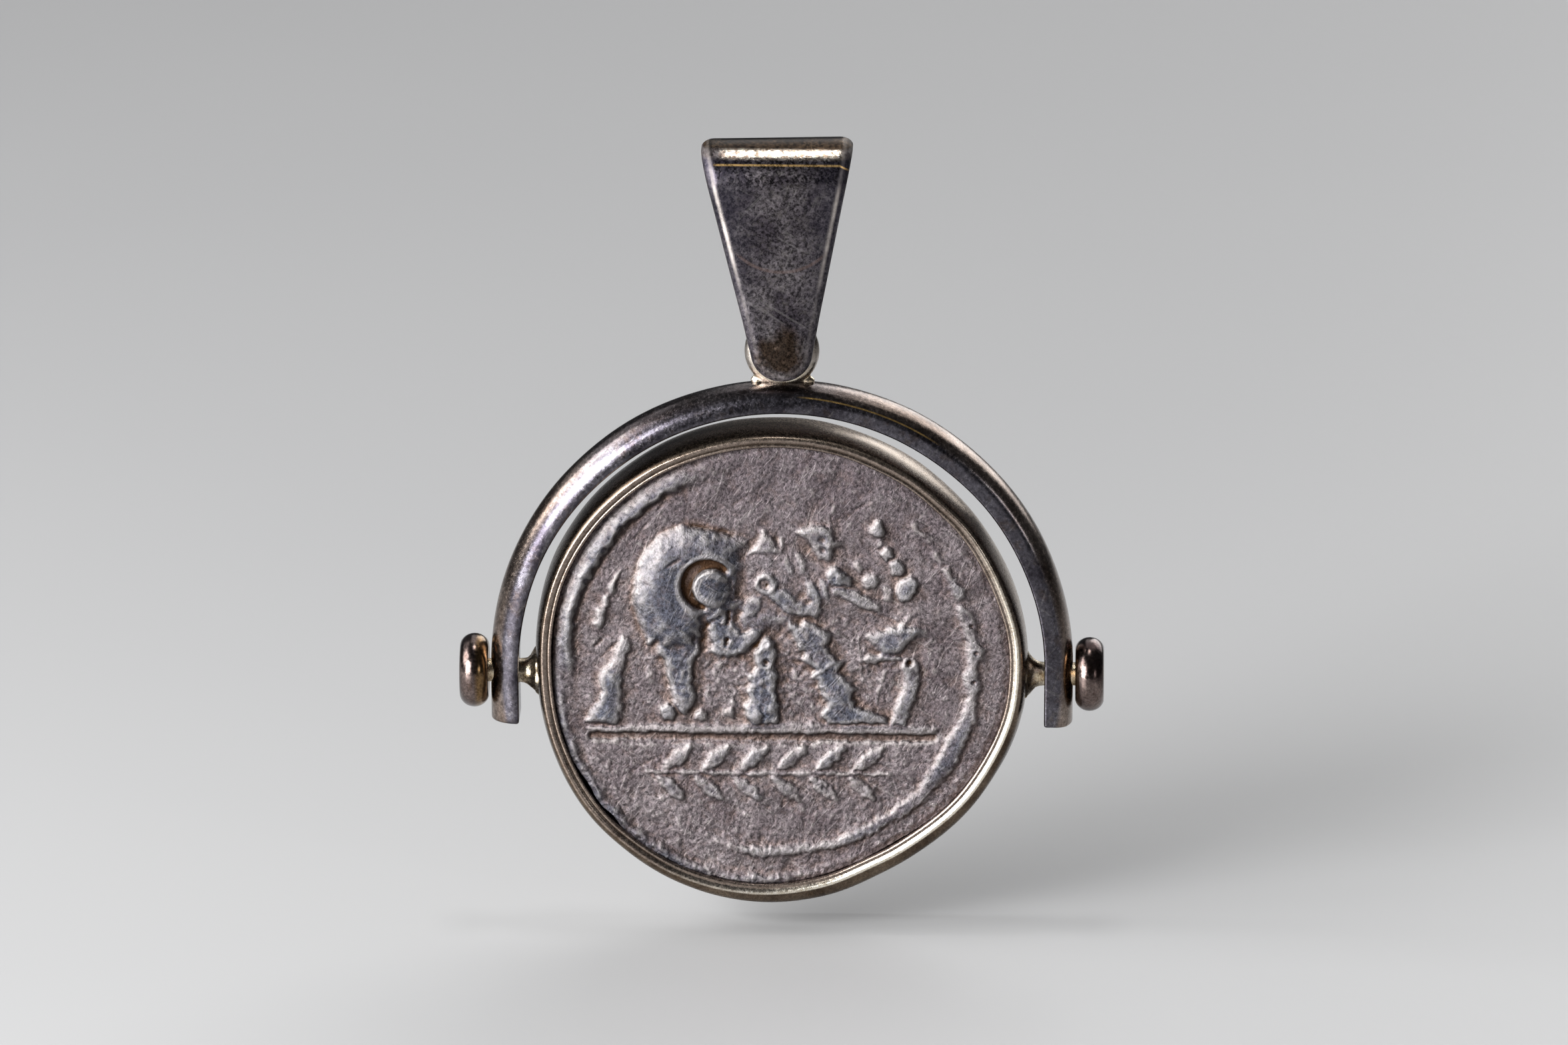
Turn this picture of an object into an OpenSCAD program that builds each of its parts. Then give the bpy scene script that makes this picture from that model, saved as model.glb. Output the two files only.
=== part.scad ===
// Silver coin pendant: a worn coin in a bulged bezel that flips over inside a U-shaped yoke, which
// hangs from a folded, tapered bail. X runs to the right as the coin is looked at, Y away from the
// viewer and Z up. The origin is the inside top of the bail, where a chain lies.

/* [Coin] */
// Nominal diameter of the coin
coin_d = 19; // [17:0.5:21]
// Thickness of the coin's field, without its relief
field_t = 1.4; // [1.2:0.1:1.6]
// Height of the tallest relief above the field
relief_h = 0.32; // [0.2:0.02:0.4]

/* [Bezel] */
// Depth of the bezel from front rim to back rim
bezel_depth = 3.2; // [2.9:0.1:3.5]
// Thickness of the bezel's sheet
bezel_t = 0.3; // [0.24:0.02:0.34]
// How far the band bulges out between its rims
bezel_bulge = 0.35; // [0.3:0.05:0.45]
// Diameter of the pivot posts
post_d = 0.95; // [0.8:0.05:1.1]
// Diameter of the solder at the foot of a post
post_foot_d = 1.6; // [1.4:0.1:1.8]

/* [Yoke] */
// Space between the widest point of the bezel and the inside of the yoke's arms
yoke_gap = 0.7; // [0.6:0.05:0.9]
// Thickness of the yoke's band, measured outwards
yoke_t = 1.15; // [1:0.05:1.3]
// Width of the yoke's band, front to back
yoke_w = 2.2; // [1.9:0.1:2.5]
// Height of the arch's centre above the posts
yoke_rise = 0.4; // [0.3:0.05:0.6]
// Length of the arms below the posts
arm_drop = 2; // [1.6:0.1:2.4]

/* [Top ring] */
// Outer diameter of the ring soldered on top of the yoke
ring_d = 3; // [2.9:0.05:3.2]
// Diameter of the ring's wire
ring_wire_d = 0.72; // [0.6:0.02:0.74]
// How deep the ring sits in the top of the yoke
ring_seat = 0.25; // [0.15:0.05:0.35]

/* [Knobs] */
// Diameter of the knobs on the post ends
knob_d = 3; // [2.6:0.1:3.4]
// Thickness of a knob
knob_t = 0.95; // [0.8:0.05:1.1]
// Space between a knob and the yoke
knob_gap = 0.3; // [0.2:0.05:0.4]

/* [Bail] */
// Width of the bail at its fold
bail_top_w = 6.1; // [5.4:0.1:6.6]
// Width of the bail's rounded tongue
bail_tip_w = 2.7; // [2.5:0.05:2.8]
// Depth of the bail over its fold, front to back
bail_depth = 3.4; // [3.2:0.1:4]
// Height of the bail's fold centre above its pin
bail_rise = 6.65; // [6:0.1:7.5]
// Thickness of the bail's strap
strap_t = 0.7; // [0.6:0.02:0.72]
// Diameter of the pin that crosses the bail
pin_d = 0.6; // [0.5:0.05:0.7]
// How far the bail leans to the left, in degrees
bail_lean = 1.4; // [0:0.2:2]

/* [Hidden] */
$fn = 64;

// How far a cutter reaches past what it cuts.
excess = 1;

coin_r = coin_d / 2;
percent = coin_r / 100;
rim_half_depth = bezel_depth / 2;

// Rim of the bezel, burnished over an uneven coin: its radius in shares of the coin's radius,
// every 30 degrees counterclockwise from the right-hand post.
rim_step = 30;
rim_shares = [0.99, 1.01, 1.03, 1.05, 1.06, 1.045, 0.995, 0.975, 0.95, 0.915, 0.87, 0.925];

// Smooth closed curve through four neighbouring values, at the share t between the middle two.
function ease(a, b, c, d, t) =
    b + 0.5 * t * (c - a + t * (2 * a - 5 * b + 4 * c - d + t * (3 * (b - c) + d - a)));
function rim_share(k) = rim_shares[(k + len(rim_shares)) % len(rim_shares)];
function rim_r(angle) =
    let (k = floor(angle / rim_step), t = angle / rim_step - k)
    coin_r * ease(rim_share(k - 1), rim_share(k), rim_share(k + 1), rim_share(k + 2), t);

// Bulge of the band at a place between its rims.
function band_bulge(y) = bezel_bulge * (1 - pow(y / rim_half_depth, 2));
function point_at(r, angle, y) = [r * cos(angle), y, r * sin(angle)];

// Bezel to yoke.
bezel_reach_r = rim_r(180) + bezel_t / 2 + bezel_bulge;
yoke_inner_r = bezel_reach_r + yoke_gap;
yoke_outer_r = yoke_inner_r + yoke_t;
bore_clearance = 0.05;
post_bore_d = post_d + 2 * bore_clearance;
knob_x = yoke_outer_r + knob_gap;
post_end_x = knob_x + knob_t;

// Ring, pin and bail, from the posts up.
yoke_top_z = yoke_rise + yoke_outer_r;
ring_centre_z = yoke_top_z - ring_seat + ring_d / 2;
ring_hole_d = ring_d - 2 * ring_wire_d;
pin_play = 0.05;
pin_z = ring_centre_z + (ring_hole_d - pin_d) / 2 - pin_play;
fold_z = pin_z + bail_rise;
fold_r = bail_depth / 2;
fold_inner_r = fold_r - strap_t;

// Half the space between the legs at the pin, and the legs' slope that gives it.
leg_clearance = 0.24;
leg_gap = ring_wire_d / 2 + leg_clearance;
leg_reach = leg_gap + strap_t;
leg_slope = atan2(bail_rise, leg_reach) - acos(fold_r / norm([bail_rise, leg_reach]));

// Place of the posts when the inside top of the leaning bail is the origin.
chain_rise = bail_rise + fold_inner_r;
post_x = chain_rise * sin(bail_lean);
post_z = -pin_z - chain_rise * cos(bail_lean);

// A ring of points joined to the next by triangles, and a fan that closes the last ring.
function ring_band(first, next, n) = [
    for (i = [0 : n - 1])
        let (j = (i + 1) % n)
        each [[first + i, next + j, next + i], [first + i, first + j, next + j]]
];
function fan(centre, first, n) = [for (i = [0 : n - 1]) [centre, first + (i + 1) % n, first + i]];
function backwards(faces) = [for (f = faces) [f[2], f[1], f[0]]];

// Relief of the coin's face, in hundredths of the coin's radius from the centre of the posts: each
// stroke runs from one end to the other and swells up round a centre line.
// Columns: start x, start z, end x, end z, start radius, end radius, height in hundredths.
body_strokes = [
    [-39, 43, -17, 42, 22, 20, 92],
    [-41, 28, -17, 29, 18, 17, 84],
    [-11, 36, 7, 35, 18, 16, 88],
    [-2, 27, 9, 25, 12, 11, 80],
];
head_strokes = [
    [0, 47, 11, 46, 15, 13, 100],
    [12, 57, 17, 54, 8, 7, 76],
    [-15, 53, -16, 38, 4, 4, 100],
    [-16, 38, -3, 31, 4, 5, 100],
    [-3, 31, 14, 31, 5, 4, 100],
    [14, 31, 17, 39, 4, 4, 96],
    [16, 44, 25, 43, 9, 7, 88],
    [25, 43, 32, 37, 7, 5, 80],
    [32, 37, 44, 35, 5, 5, 76],
    [44, 35, 53, 41, 5, 5, 76],
    [53, 41, 50, 51, 5, 4, 72],
    [50, 51, 42, 66, 4, 4, 68],
    [26, 49, 40, 35, 2, 2, 84],
];
leg_strokes = [
    [-52, 28, -66, 13, 12, 7, 72],
    [-66, 13, -73, -2, 7, 5, 64],
    [-73, -2, -75, -17, 5, 6, 60],
    [-42, 26, -44, 10, 11, 7, 72],
    [-44, 10, -42, -9, 7, 5, 68],
    [-42, -9, -47, -15, 5, 5, 64],
    [-40, -16, -34, -16, 3, 3, 52],
    [-6, 24, -7, 8, 9, 6, 72],
    [-7, 8, -10, -6, 6, 5, 68],
    [-10, -6, -8, -16, 5, 6, 64],
    [8, 24, 14, 14, 10, 8, 80],
    [14, 14, 23, -4, 8, 6, 76],
    [23, -4, 23, -16, 6, 7, 68],
];
tail_strokes = [
    [-68, 48, -74, 38, 2, 2, 52],
    [-74, 38, -78, 26, 2, 3, 56],
];
serpent_strokes = [
    [39, 17, 59, 22, 3, 5, 68],
    [35, 9, 45, 12, 2, 2, 48],
    [56, 11, 59, 2, 3, 4, 52],
    [59, 2, 56, -9, 4, 4, 52],
    [56, -9, 49, -18, 4, 4, 48],
];
ground_strokes = [
    [-78, -21, -8, -21, 2, 2.5, 48],
    [-8, -21, 61, -23, 2.5, 2, 48],
];
line_strokes = concat(body_strokes, head_strokes, leg_strokes, tail_strokes, serpent_strokes,
    ground_strokes);

// Worn border line: its points in hundredths of the coin's radius, its half width and its height.
border_points = [[53, 72], [64, 57], [73, 42], [78, 26], [80, 8], [78, -12], [64, -40], [39, -61],
    [7, -72], [-24, -72]];
border_half_w = 4;
border_height = 42;
border_strokes = [
    for (i = [1 : len(border_points) - 1])
        [each border_points[i - 1], each border_points[i], border_half_w, border_half_w,
            border_height]
];

// Sprig of leaves below the ground line: pairs of leaves on a stem.
sprig_z = -41;
sprig_start_x = -54;
sprig_pitch = 16;
leaf_pairs = 6;
leaf_run = 11;
leaf_lift = 9;
sprig_strokes = [
    [sprig_start_x, sprig_z, sprig_start_x + sprig_pitch * leaf_pairs, sprig_z, 2, 2, 52],
    for (i = [0 : leaf_pairs - 1], side = [-1, 1])
        let (x = sprig_start_x + sprig_pitch * i)
        [x + 2, sprig_z + 2 * side, x + leaf_run, sprig_z + leaf_lift * side, 2, 4, 60],
];

raised_strokes = concat(line_strokes, border_strokes, sprig_strokes);

// Crescent punch mark sunk in the haunch: the space between an outer and an inner circle.
punch_outer = [-31.5, 42.5];
punch_outer_r = 11.4;
punch_inner = [-29.5, 41];
punch_inner_r = 8.1;
punch_depth = 0.22;

// Share of its height that a stroke has at a place, both in hundredths of the coin's radius.
function stroke_height(s, p) =
    let (
        along = [s[2] - s[0], s[3] - s[1]],
        from = p - [s[0], s[1]],
        t = min(1, max(0, from * along / max(1, along * along))),
        r = s[4] + t * (s[5] - s[4]),
        d = norm(from - t * along) / r
    )
    d < 1 ? s[6] / 100 * sqrt(1 - d * d) : 0;
function punched(p) = norm(p - punch_outer) < punch_outer_r && norm(p - punch_inner) > punch_inner_r;
function front_relief(p) =
    relief_h * max([for (s = raised_strokes) stroke_height(s, p)])
        - (punched(p) ? punch_depth : 0);

// Hammered edge: each nick has its angle, its half width in degrees and its depth in shares of the
// coin's radius.
nicks = [[108, 8, 0.012], [172, 22, 0.036], [207, 9, 0.034], [224, 5, 0.03], [252, 9, 0.015],
    [306, 10, 0.012]];
function nick_depth(angle) =
    coin_r * max([for (n = nicks) n[2] * exp(-pow((angle - n[0]) / n[1], 2))]);
function coin_edge_r(angle) = rim_r(angle) - nick_depth(angle);

// Turned-up lip of the upper left edge, as a share of the relief's height.
lip_angle = 140;
lip_spread = 34;
lip_share = 0.7;
function lip(angle) = relief_h * lip_share * exp(-pow((angle - lip_angle) / lip_spread, 2));

coin_steps = 108;
front_rings = 26;
back_rings = 8;
// Rings round the edge. Columns: distance in from the edge, share of half the field's thickness.
edge_rings = [[0.06, -0.8], [0, -0.35], [0, 0.35], [0.06, 0.8]];
edge_inset = 0.16;
back_border_h = 0.15;
field_half = field_t / 2;

function face_r(angle, share) = share * (coin_edge_r(angle) - edge_inset);
function front_y(angle, share) =
    let (r = face_r(angle, share) / percent)
    -field_half - front_relief([r * cos(angle), r * sin(angle)])
        - (share > 0.95 ? lip(angle) : 0);
function back_y(share) = field_half + (share > 0.8 && share < 0.95 ? back_border_h : 0);
function step_angle(i) = 360 * i / coin_steps;

module coin() {
    front = [for (k = [1 : front_rings], i = [0 : coin_steps - 1])
        let (share = k / front_rings, a = step_angle(i))
        point_at(face_r(a, share), a, front_y(a, share))];
    edge = [for (e = edge_rings, i = [0 : coin_steps - 1])
        let (a = step_angle(i))
        point_at(coin_edge_r(a) - e[0], a, e[1] * field_half)];
    back = [for (k = [back_rings : -1 : 1], i = [0 : coin_steps - 1])
        let (share = k / back_rings, a = step_angle(i))
        point_at(face_r(a, share), a, back_y(share))];
    rings = front_rings + len(edge_rings) + back_rings;
    front_centre = rings * coin_steps;
    faces = concat(
        fan(front_centre, 0, coin_steps),
        [for (k = [0 : rings - 2]) each ring_band(k * coin_steps, (k + 1) * coin_steps, coin_steps)],
        backwards(fan(front_centre + 1, (rings - 1) * coin_steps, coin_steps))
    );
    points = concat(front, edge, back, [[0, front_y(0, 0), 0], [0, field_half, 0]]);
    color("#8f8a88") hang() polyhedron(points, faces);
}

// Band of the bezel: the outside from front to back, then the inside from back to front, with a
// rounded rim at each end.
band_steps = 90;
band_parts = 6;
rim_round = 0.06;
band_section = [
    for (j = [0 : band_parts])
        let (y = (2 * j / band_parts - 1) * rim_half_depth)
        [bezel_t / 2 + band_bulge(y), y],
    [0, rim_half_depth + rim_round],
    for (j = [band_parts : -1 : 0])
        let (y = (2 * j / band_parts - 1) * rim_half_depth)
        [band_bulge(y) - bezel_t / 2, y],
    [0, -rim_half_depth - rim_round],
];

module band() {
    points = [for (p = band_section, i = [0 : band_steps - 1])
        let (a = 360 * i / band_steps)
        point_at(rim_r(a) + p[0], a, p[1])];
    rings = len(band_section);
    faces = [for (k = [0 : rings - 1])
        each ring_band(k * band_steps, (k + 1) % rings * band_steps, band_steps)];
    polyhedron(points, faces);
}

// Post with its solder foot, from inside the band's sheet out to the post's end.
post_foot_h = 0.55;
module post(root_x) {
    length = post_end_x - root_x;
    translate([root_x, 0, 0]) rotate([0, 90, 0]) rotate_extrude()
        polygon([[0, 0], [post_foot_d / 2, 0], [post_d / 2, post_foot_h], [post_d / 2, length],
            [0, length]]);
}

module bezel() {
    color("#a39c90") hang() {
        band();
        post(rim_r(0) + bezel_bulge);
        mirror([1, 0, 0]) post(rim_r(180) + bezel_bulge);
    }
}

// Yoke's section: flat inside and at front and back, crowned outside.
crown_r = 1.35;
module yoke_section() {
    intersection() {
        translate([yoke_inner_r, -yoke_w / 2]) square([yoke_t, yoke_w]);
        translate([yoke_outer_r - crown_r, 0]) circle(crown_r);
    }
}

module arm() {
    translate([0, 0, -arm_drop]) linear_extrude(yoke_rise + arm_drop) yoke_section();
}

// Solder that runs from the ring's foot out along the yoke's top.
solder_half_w = 1.2;
solder_h = 0.5;
solder_hollow_r = 0.65;
module ring_solder() {
    rotate([90, 0, 0]) linear_extrude(ring_wire_d, center = true) difference() {
        translate([-solder_half_w, yoke_top_z - 2 * solder_h])
            square([2 * solder_half_w, 3 * solder_h]);
        for (side = [-1, 1])
            translate([side * (solder_half_w + solder_hollow_r / 4), yoke_top_z + solder_hollow_r * 0.9])
                circle(solder_hollow_r);
        translate([0, ring_centre_z]) circle(d = ring_d - ring_wire_d);
    }
}

module top_ring() {
    translate([0, 0, ring_centre_z]) rotate([90, 0, 0]) rotate_extrude()
        translate([(ring_d - ring_wire_d) / 2, 0]) circle(d = ring_wire_d);
}

module yoke() {
    color("#8a8784") hang() {
        difference() {
            union() {
                translate([0, 0, yoke_rise]) rotate([90, 0, 0]) rotate_extrude(angle = 180)
                    yoke_section();
                arm();
                mirror([1, 0, 0]) arm();
            }
            rotate([0, 90, 0])
                cylinder(h = 2 * yoke_outer_r + excess, d = post_bore_d, center = true);
        }
        top_ring();
        ring_solder();
    }
}

// Rounded washer on a post, with its bore along X.
knob_round = 0.34;
module knob() {
    rotate([0, 90, 0]) rotate_extrude() {
        translate([post_bore_d / 2, 0]) square([knob_d / 2 - knob_round - post_bore_d / 2, knob_t]);
        translate([knob_d / 2 - 2 * knob_round, knob_round])
            square([2 * knob_round, knob_t - 2 * knob_round]);
        for (y = [knob_round, knob_t - knob_round])
            translate([knob_d / 2 - knob_round, y]) circle(knob_round);
    }
}

module knob_left() {
    color("#8d8377") hang() mirror([1, 0, 0]) translate([knob_x, 0, 0]) knob();
}

module knob_right() {
    color("#8d8377") hang() translate([knob_x, 0, 0]) knob();
}

// Side view of the loop inside radius r of the fold: the round fold and the space between the legs,
// which close in on each other towards the pin.
leg_end = -3;
module loop_profile(r, low) {
    tangent = r * [cos(leg_slope), -sin(leg_slope)];
    foot_y = tangent[0] - (bail_rise + tangent[1] - low) * tan(leg_slope);
    translate([0, bail_rise]) circle(r);
    polygon([[tangent[0], bail_rise + tangent[1]], [foot_y, low], [-foot_y, low],
        [-tangent[0], bail_rise + tangent[1]]]);
}

// Front view: straight edges that touch the round tongue and the rounded top corners.
tip_r = bail_tip_w / 2;
tip_drop = 0.15;
corner_r = 0.45;
bail_top_z = bail_rise + fold_r;
corner = [bail_top_w / 2 - corner_r, bail_top_z - corner_r];
module front_outline() {
    run = corner + [0, tip_drop];
    facing = atan2(run[1], run[0]) - acos((tip_r - corner_r) / norm(run));
    out = [cos(facing), sin(facing)];
    low = [0, -tip_drop] + tip_r * out;
    high = corner + corner_r * out;
    right = [low, high, corner, [corner[0], bail_top_z]];
    polygon(concat(right, [for (i = [3 : -1 : 0]) [-right[i][0], right[i][1]]]));
    translate([0, -tip_drop]) circle(tip_r);
    for (side = [-1, 1])
        translate([side * corner[0], corner[1]]) circle(corner_r);
}

module bail() {
    color("#6f6c6c") hang() translate([0, 0, pin_z]) rotate([0, -bail_lean, 0]) {
        intersection() {
            rotate([90, 0, 90]) linear_extrude(bail_top_w + excess, center = true) difference() {
                loop_profile(fold_r, leg_end);
                loop_profile(fold_inner_r, leg_end - excess);
            }
            rotate([90, 0, 0]) linear_extrude(bail_depth + excess, center = true) front_outline();
        }
        rotate([90, 0, 0]) cylinder(h = 2 * leg_gap + strap_t, d = pin_d, center = true);
    }
}

// Everything is drawn about the posts, then hung below the origin.
module hang() {
    translate([post_x, 0, post_z]) children();
}

bail();
yoke();
bezel();
knob_left();
knob_right();
coin();
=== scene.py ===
"""Silver coin pendant: a worn coin in a bezel that flips over inside a yoke, hung from a folded bail."""
import math

import bpy
import numpy as np
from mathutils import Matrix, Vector, noise


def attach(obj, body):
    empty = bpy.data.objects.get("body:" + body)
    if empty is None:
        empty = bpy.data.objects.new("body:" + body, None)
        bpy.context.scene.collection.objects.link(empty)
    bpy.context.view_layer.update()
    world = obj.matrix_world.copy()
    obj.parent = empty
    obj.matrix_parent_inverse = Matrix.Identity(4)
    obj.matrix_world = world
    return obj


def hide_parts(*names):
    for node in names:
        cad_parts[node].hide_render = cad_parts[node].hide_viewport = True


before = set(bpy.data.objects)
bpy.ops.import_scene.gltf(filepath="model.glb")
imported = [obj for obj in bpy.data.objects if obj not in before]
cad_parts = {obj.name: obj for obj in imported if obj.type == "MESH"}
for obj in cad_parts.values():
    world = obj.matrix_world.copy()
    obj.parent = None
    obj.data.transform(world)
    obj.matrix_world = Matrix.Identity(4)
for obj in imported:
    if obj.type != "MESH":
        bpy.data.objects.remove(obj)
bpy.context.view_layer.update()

# Coin
# An old silver coin struck by hand, a little off its middle: an elephant on a ground line over a
# sprig of leaves, inside a worn border line. Its hammered edge is uneven, and it was laid into the
# bezel with its figured side to the front.
MM = 0.001
post_x = 0.18691 * MM
post_z = -21.53022 * MM
coin_r = 9.5
field_half = 1.27
edge_inset = 0.02
edge_gap = 0.15

# Radius of the bezel's rim in shares of the coin's radius, every 30 degrees counterclockwise from
# the right-hand post.
rim_shares = np.array([0.99, 1.01, 1.03, 1.05, 1.06, 1.045, 0.995, 0.975, 0.95, 0.915, 0.882, 0.93])


def rim_radius(angle):
    """Radius of the rim in mm at angles in degrees."""
    place = (np.asarray(angle, float) % 360) / 30
    k = np.floor(place).astype(int)
    t = place - k
    a, b, c, d = (rim_shares[(k + i) % 12] for i in (-1, 0, 1, 2))
    return coin_r * (b + 0.5 * t * (c - a + t * (2 * a - 5 * b + 4 * c - d + t * (3 * (b - c) + d - a))))


# Dents in the coin's edge: angle, half width in degrees and depth in mm.
edge_dents = [(108, 8, 0.06), (140, 15, 0.06), (172, 14, 0.05), (209, 5, 0.13), (220, 3, 0.12),
    (252, 9, 0.02), (306, 10, 0.03), (196, 3, 0.04), (238, 3, 0.05)]


def coin_edge(angle):
    """Radius of the coin in mm at angles in degrees."""
    angle = np.asarray(angle, float) % 360
    dent = sum(deep * np.exp(-((angle - at) / wide) ** 2) for at, wide, deep in edge_dents)
    return rim_radius(angle) - dent - edge_gap


# The relief in mm about the posts' middle. Each form is its height, the width of its shoulder and its
# outline as x and z, read clockwise from its lower left.
body = [
    (0.44, 1.10, [(-5.65, 2.0), (-5.85, 2.5), (-5.98, 3.0), (-6.02, 3.5), (-5.98, 4.0), (-5.88, 4.5),
        (-5.76, 5.0), (-5.48, 5.5), (-5.05, 5.95), (-4.55, 6.26), (-4.0, 6.44), (-3.4, 6.44), (-2.9, 6.34),
        (-2.3, 6.18), (-1.7, 6.06), (-1.25, 6.0), (-1.32, 5.6), (-1.5, 5.2), (-1.42, 4.8), (-1.55, 4.3),
        (-1.7, 3.9), (-1.66, 3.5), (-1.4, 3.3), (-1.5, 3.0), (-1.8, 2.8), (-2.0, 2.45), (-2.5, 2.3),
        (-3.0, 2.35), (-3.2, 1.8), (-3.3, 1.2), (-4.95, 1.1), (-5.1, 1.45), (-5.4, 1.6)]),
    (0.26, 0.22, [(-2.9, 2.5), (-2.98, 1.9), (-2.9, 1.4), (-2.98, 1.12), (-2.6, 0.97), (-2.2, 0.92),
        (-1.8, 0.95), (-1.4, 1.15), (-1.1, 1.45), (-0.86, 1.75), (-0.6, 2.05), (-1.1, 2.2), (-1.6, 2.1),
        (-1.8, 2.5), (-2.2, 2.7)]),
    (0.12, 0.35, [(-1.9, 2.0), (-1.0, 1.7), (-0.55, 2.0), (0.2, 2.25), (0.5, 2.75), (-0.2, 3.1),
        (-1.0, 3.0), (-1.8, 2.8)]),
    (0.08, 0.50, [(-0.8, 2.4), (-1.7, 3.0), (-1.7, 5.2), (-1.2, 6.0), (0.4, 5.7), (1.4, 5.3), (2.1, 5.0),
        (3.0, 4.2), (2.4, 3.4), (1.8, 2.7), (0.5, 2.5)])]
legs = [
    (0.26, 0.34, [(-7.95, -1.8), (-7.7, -1.25), (-7.45, -0.85), (-7.3, -0.45), (-7.42, 0.0), (-7.3, 0.35),
        (-7.0, 0.72), (-6.78, 1.1), (-6.62, 1.5), (-6.45, 1.95), (-6.15, 1.75), (-5.95, 1.35), (-6.2, 0.9),
        (-6.35, 0.3), (-6.4, -0.2), (-6.35, -0.9), (-6.4, -1.5), (-6.6, -1.9)]),
    (0.33, 0.24, [(-4.2, -1.25), (-4.4, -0.9), (-4.52, -0.4), (-4.56, 0.0), (-4.62, 0.3), (-4.76, 0.85),
        (-5.0, 1.15), (-5.05, 1.45), (-4.4, 1.9), (-3.3, 1.9), (-3.25, 1.2), (-3.55, 0.6), (-3.6, 0.0),
        (-3.5, -0.3), (-3.4, -0.7), (-3.6, -1.15), (-3.95, -1.45)]),
    (0.30, 0.20, [(-1.25, -1.85), (-1.38, -1.6), (-1.46, -1.1), (-1.28, -0.76), (-1.42, -0.5),
        (-1.24, -0.15), (-1.26, 0.2), (-1.04, 0.5), (-1.12, 1.0), (-0.95, 1.35), (-0.75, 1.75),
        (-0.45, 1.82), (-0.25, 1.5), (-0.1, 1.1), (-0.35, 0.7), (-0.12, 0.35), (-0.1, 0.0), (-0.15, -0.5),
        (-0.05, -0.95), (-0.02, -1.4), (-0.15, -1.85)]),
    (0.30, 0.22, [(1.9, -1.8), (1.66, -1.5), (1.72, -1.12), (1.92, -0.88), (1.66, -0.65), (1.5, -0.3),
        (1.52, 0.02), (1.2, 0.15), (1.34, 0.48), (1.08, 0.62), (0.86, 0.85), (0.97, 1.13), (0.7, 1.25),
        (0.62, 1.55), (0.5, 1.9), (0.28, 2.3), (0.22, 2.72), (0.45, 2.45), (0.7, 2.32), (0.95, 2.58),
        (1.5, 2.3), (2.05, 1.98), (1.85, 1.5), (2.08, 1.15), (2.5, 0.8), (2.35, 0.4), (2.7, 0.1),
        (3.05, -0.3), (2.9, -0.7), (3.1, -1.05), (3.6, -1.2), (4.2, -1.45), (4.4, -1.8)]),
    (0.27, 0.20, [(-4.72, -1.68), (-4.88, -1.4), (-4.85, -1.1), (-4.6, -0.98), (-4.3, -1.1), (-4.2, -1.4),
        (-4.35, -1.7)]),
    (0.26, 0.20, [(-3.52, -1.65), (-3.5, -1.35), (-3.25, -1.2), (-3.0, -1.35), (-3.0, -1.7),
        (-3.3, -1.78)]),
    (0.20, 0.20, [(-2.25, -1.5), (-2.3, -1.2), (-2.0, -1.08), (-1.88, -1.3), (-1.95, -1.6)]),
    (0.10, 0.08, [(-5.62, 0.68), (-5.5, 0.86), (-4.85, 1.02), (-4.8, 0.9)])]
head = [
    (0.22, 0.22, [(-1.05, 5.25), (-1.45, 5.2), (-1.38, 5.45), (-1.05, 5.7), (-0.85, 5.95), (-0.8, 6.32),
        (-0.6, 6.32), (-0.4, 6.1), (-0.25, 5.85), (-0.1, 5.5), (-0.05, 6.05), (0.1, 5.95), (0.14, 5.7),
        (0.05, 5.33), (-0.5, 5.26)]),
    (0.30, 0.30, [(1.5, 5.05), (1.32, 5.3), (1.08, 5.65), (0.86, 5.95), (0.5, 6.28), (1.0, 6.44),
        (1.5, 6.54), (1.85, 6.48), (2.05, 6.38), (2.35, 5.88), (2.52, 5.7), (2.15, 5.5), (2.1, 5.1),
        (1.9, 4.98)]),
    (0.17, 0.16, [(0.08, 4.7), (0.0, 5.2), (0.3, 5.32), (0.42, 4.95), (0.5, 4.5), (0.3, 4.4)]),
    (0.18, 0.16, [(0.8, 4.42), (0.6, 4.95), (0.53, 5.35), (0.82, 5.37), (1.03, 4.8), (1.03, 4.45)]),
    (0.30, 0.22, [(1.85, 4.15), (1.76, 4.4), (2.0, 4.76), (2.2, 4.87), (2.5, 4.62), (2.9, 4.32),
        (2.86, 3.98), (2.4, 3.96), (2.05, 4.0)]),
    (0.24, 0.20, [(2.1, 3.6), (2.0, 3.9), (2.3, 3.98), (2.85, 3.95), (3.2, 3.75), (3.6, 3.45), (4.08, 3.15),
        (4.0, 2.93), (3.5, 2.96), (3.1, 3.08), (2.85, 3.32), (2.4, 3.52)]),
    (0.20, 0.14, [(1.6, 3.6), (1.46, 4.3), (1.7, 4.34), (1.95, 4.1), (2.0, 3.6), (1.85, 3.32)]),
    (0.27, 0.22, [(0.0, 2.95), (-0.3, 3.28), (-0.62, 3.5), (-0.35, 3.78), (0.15, 3.87), (0.45, 3.75),
        (0.7, 3.37), (1.03, 3.2), (1.2, 3.32), (1.06, 3.7), (1.0, 4.12), (1.35, 4.17), (1.62, 3.7),
        (1.7, 3.2), (1.68, 2.82), (1.45, 2.64), (1.0, 2.64), (0.4, 2.7)]),
    (0.20, 0.20, [(-1.62, 2.65), (-1.66, 2.95), (-1.46, 3.36), (-1.2, 3.6), (-0.78, 3.58), (-0.73, 3.1),
        (-0.95, 2.72), (-1.3, 2.58)])]
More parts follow.
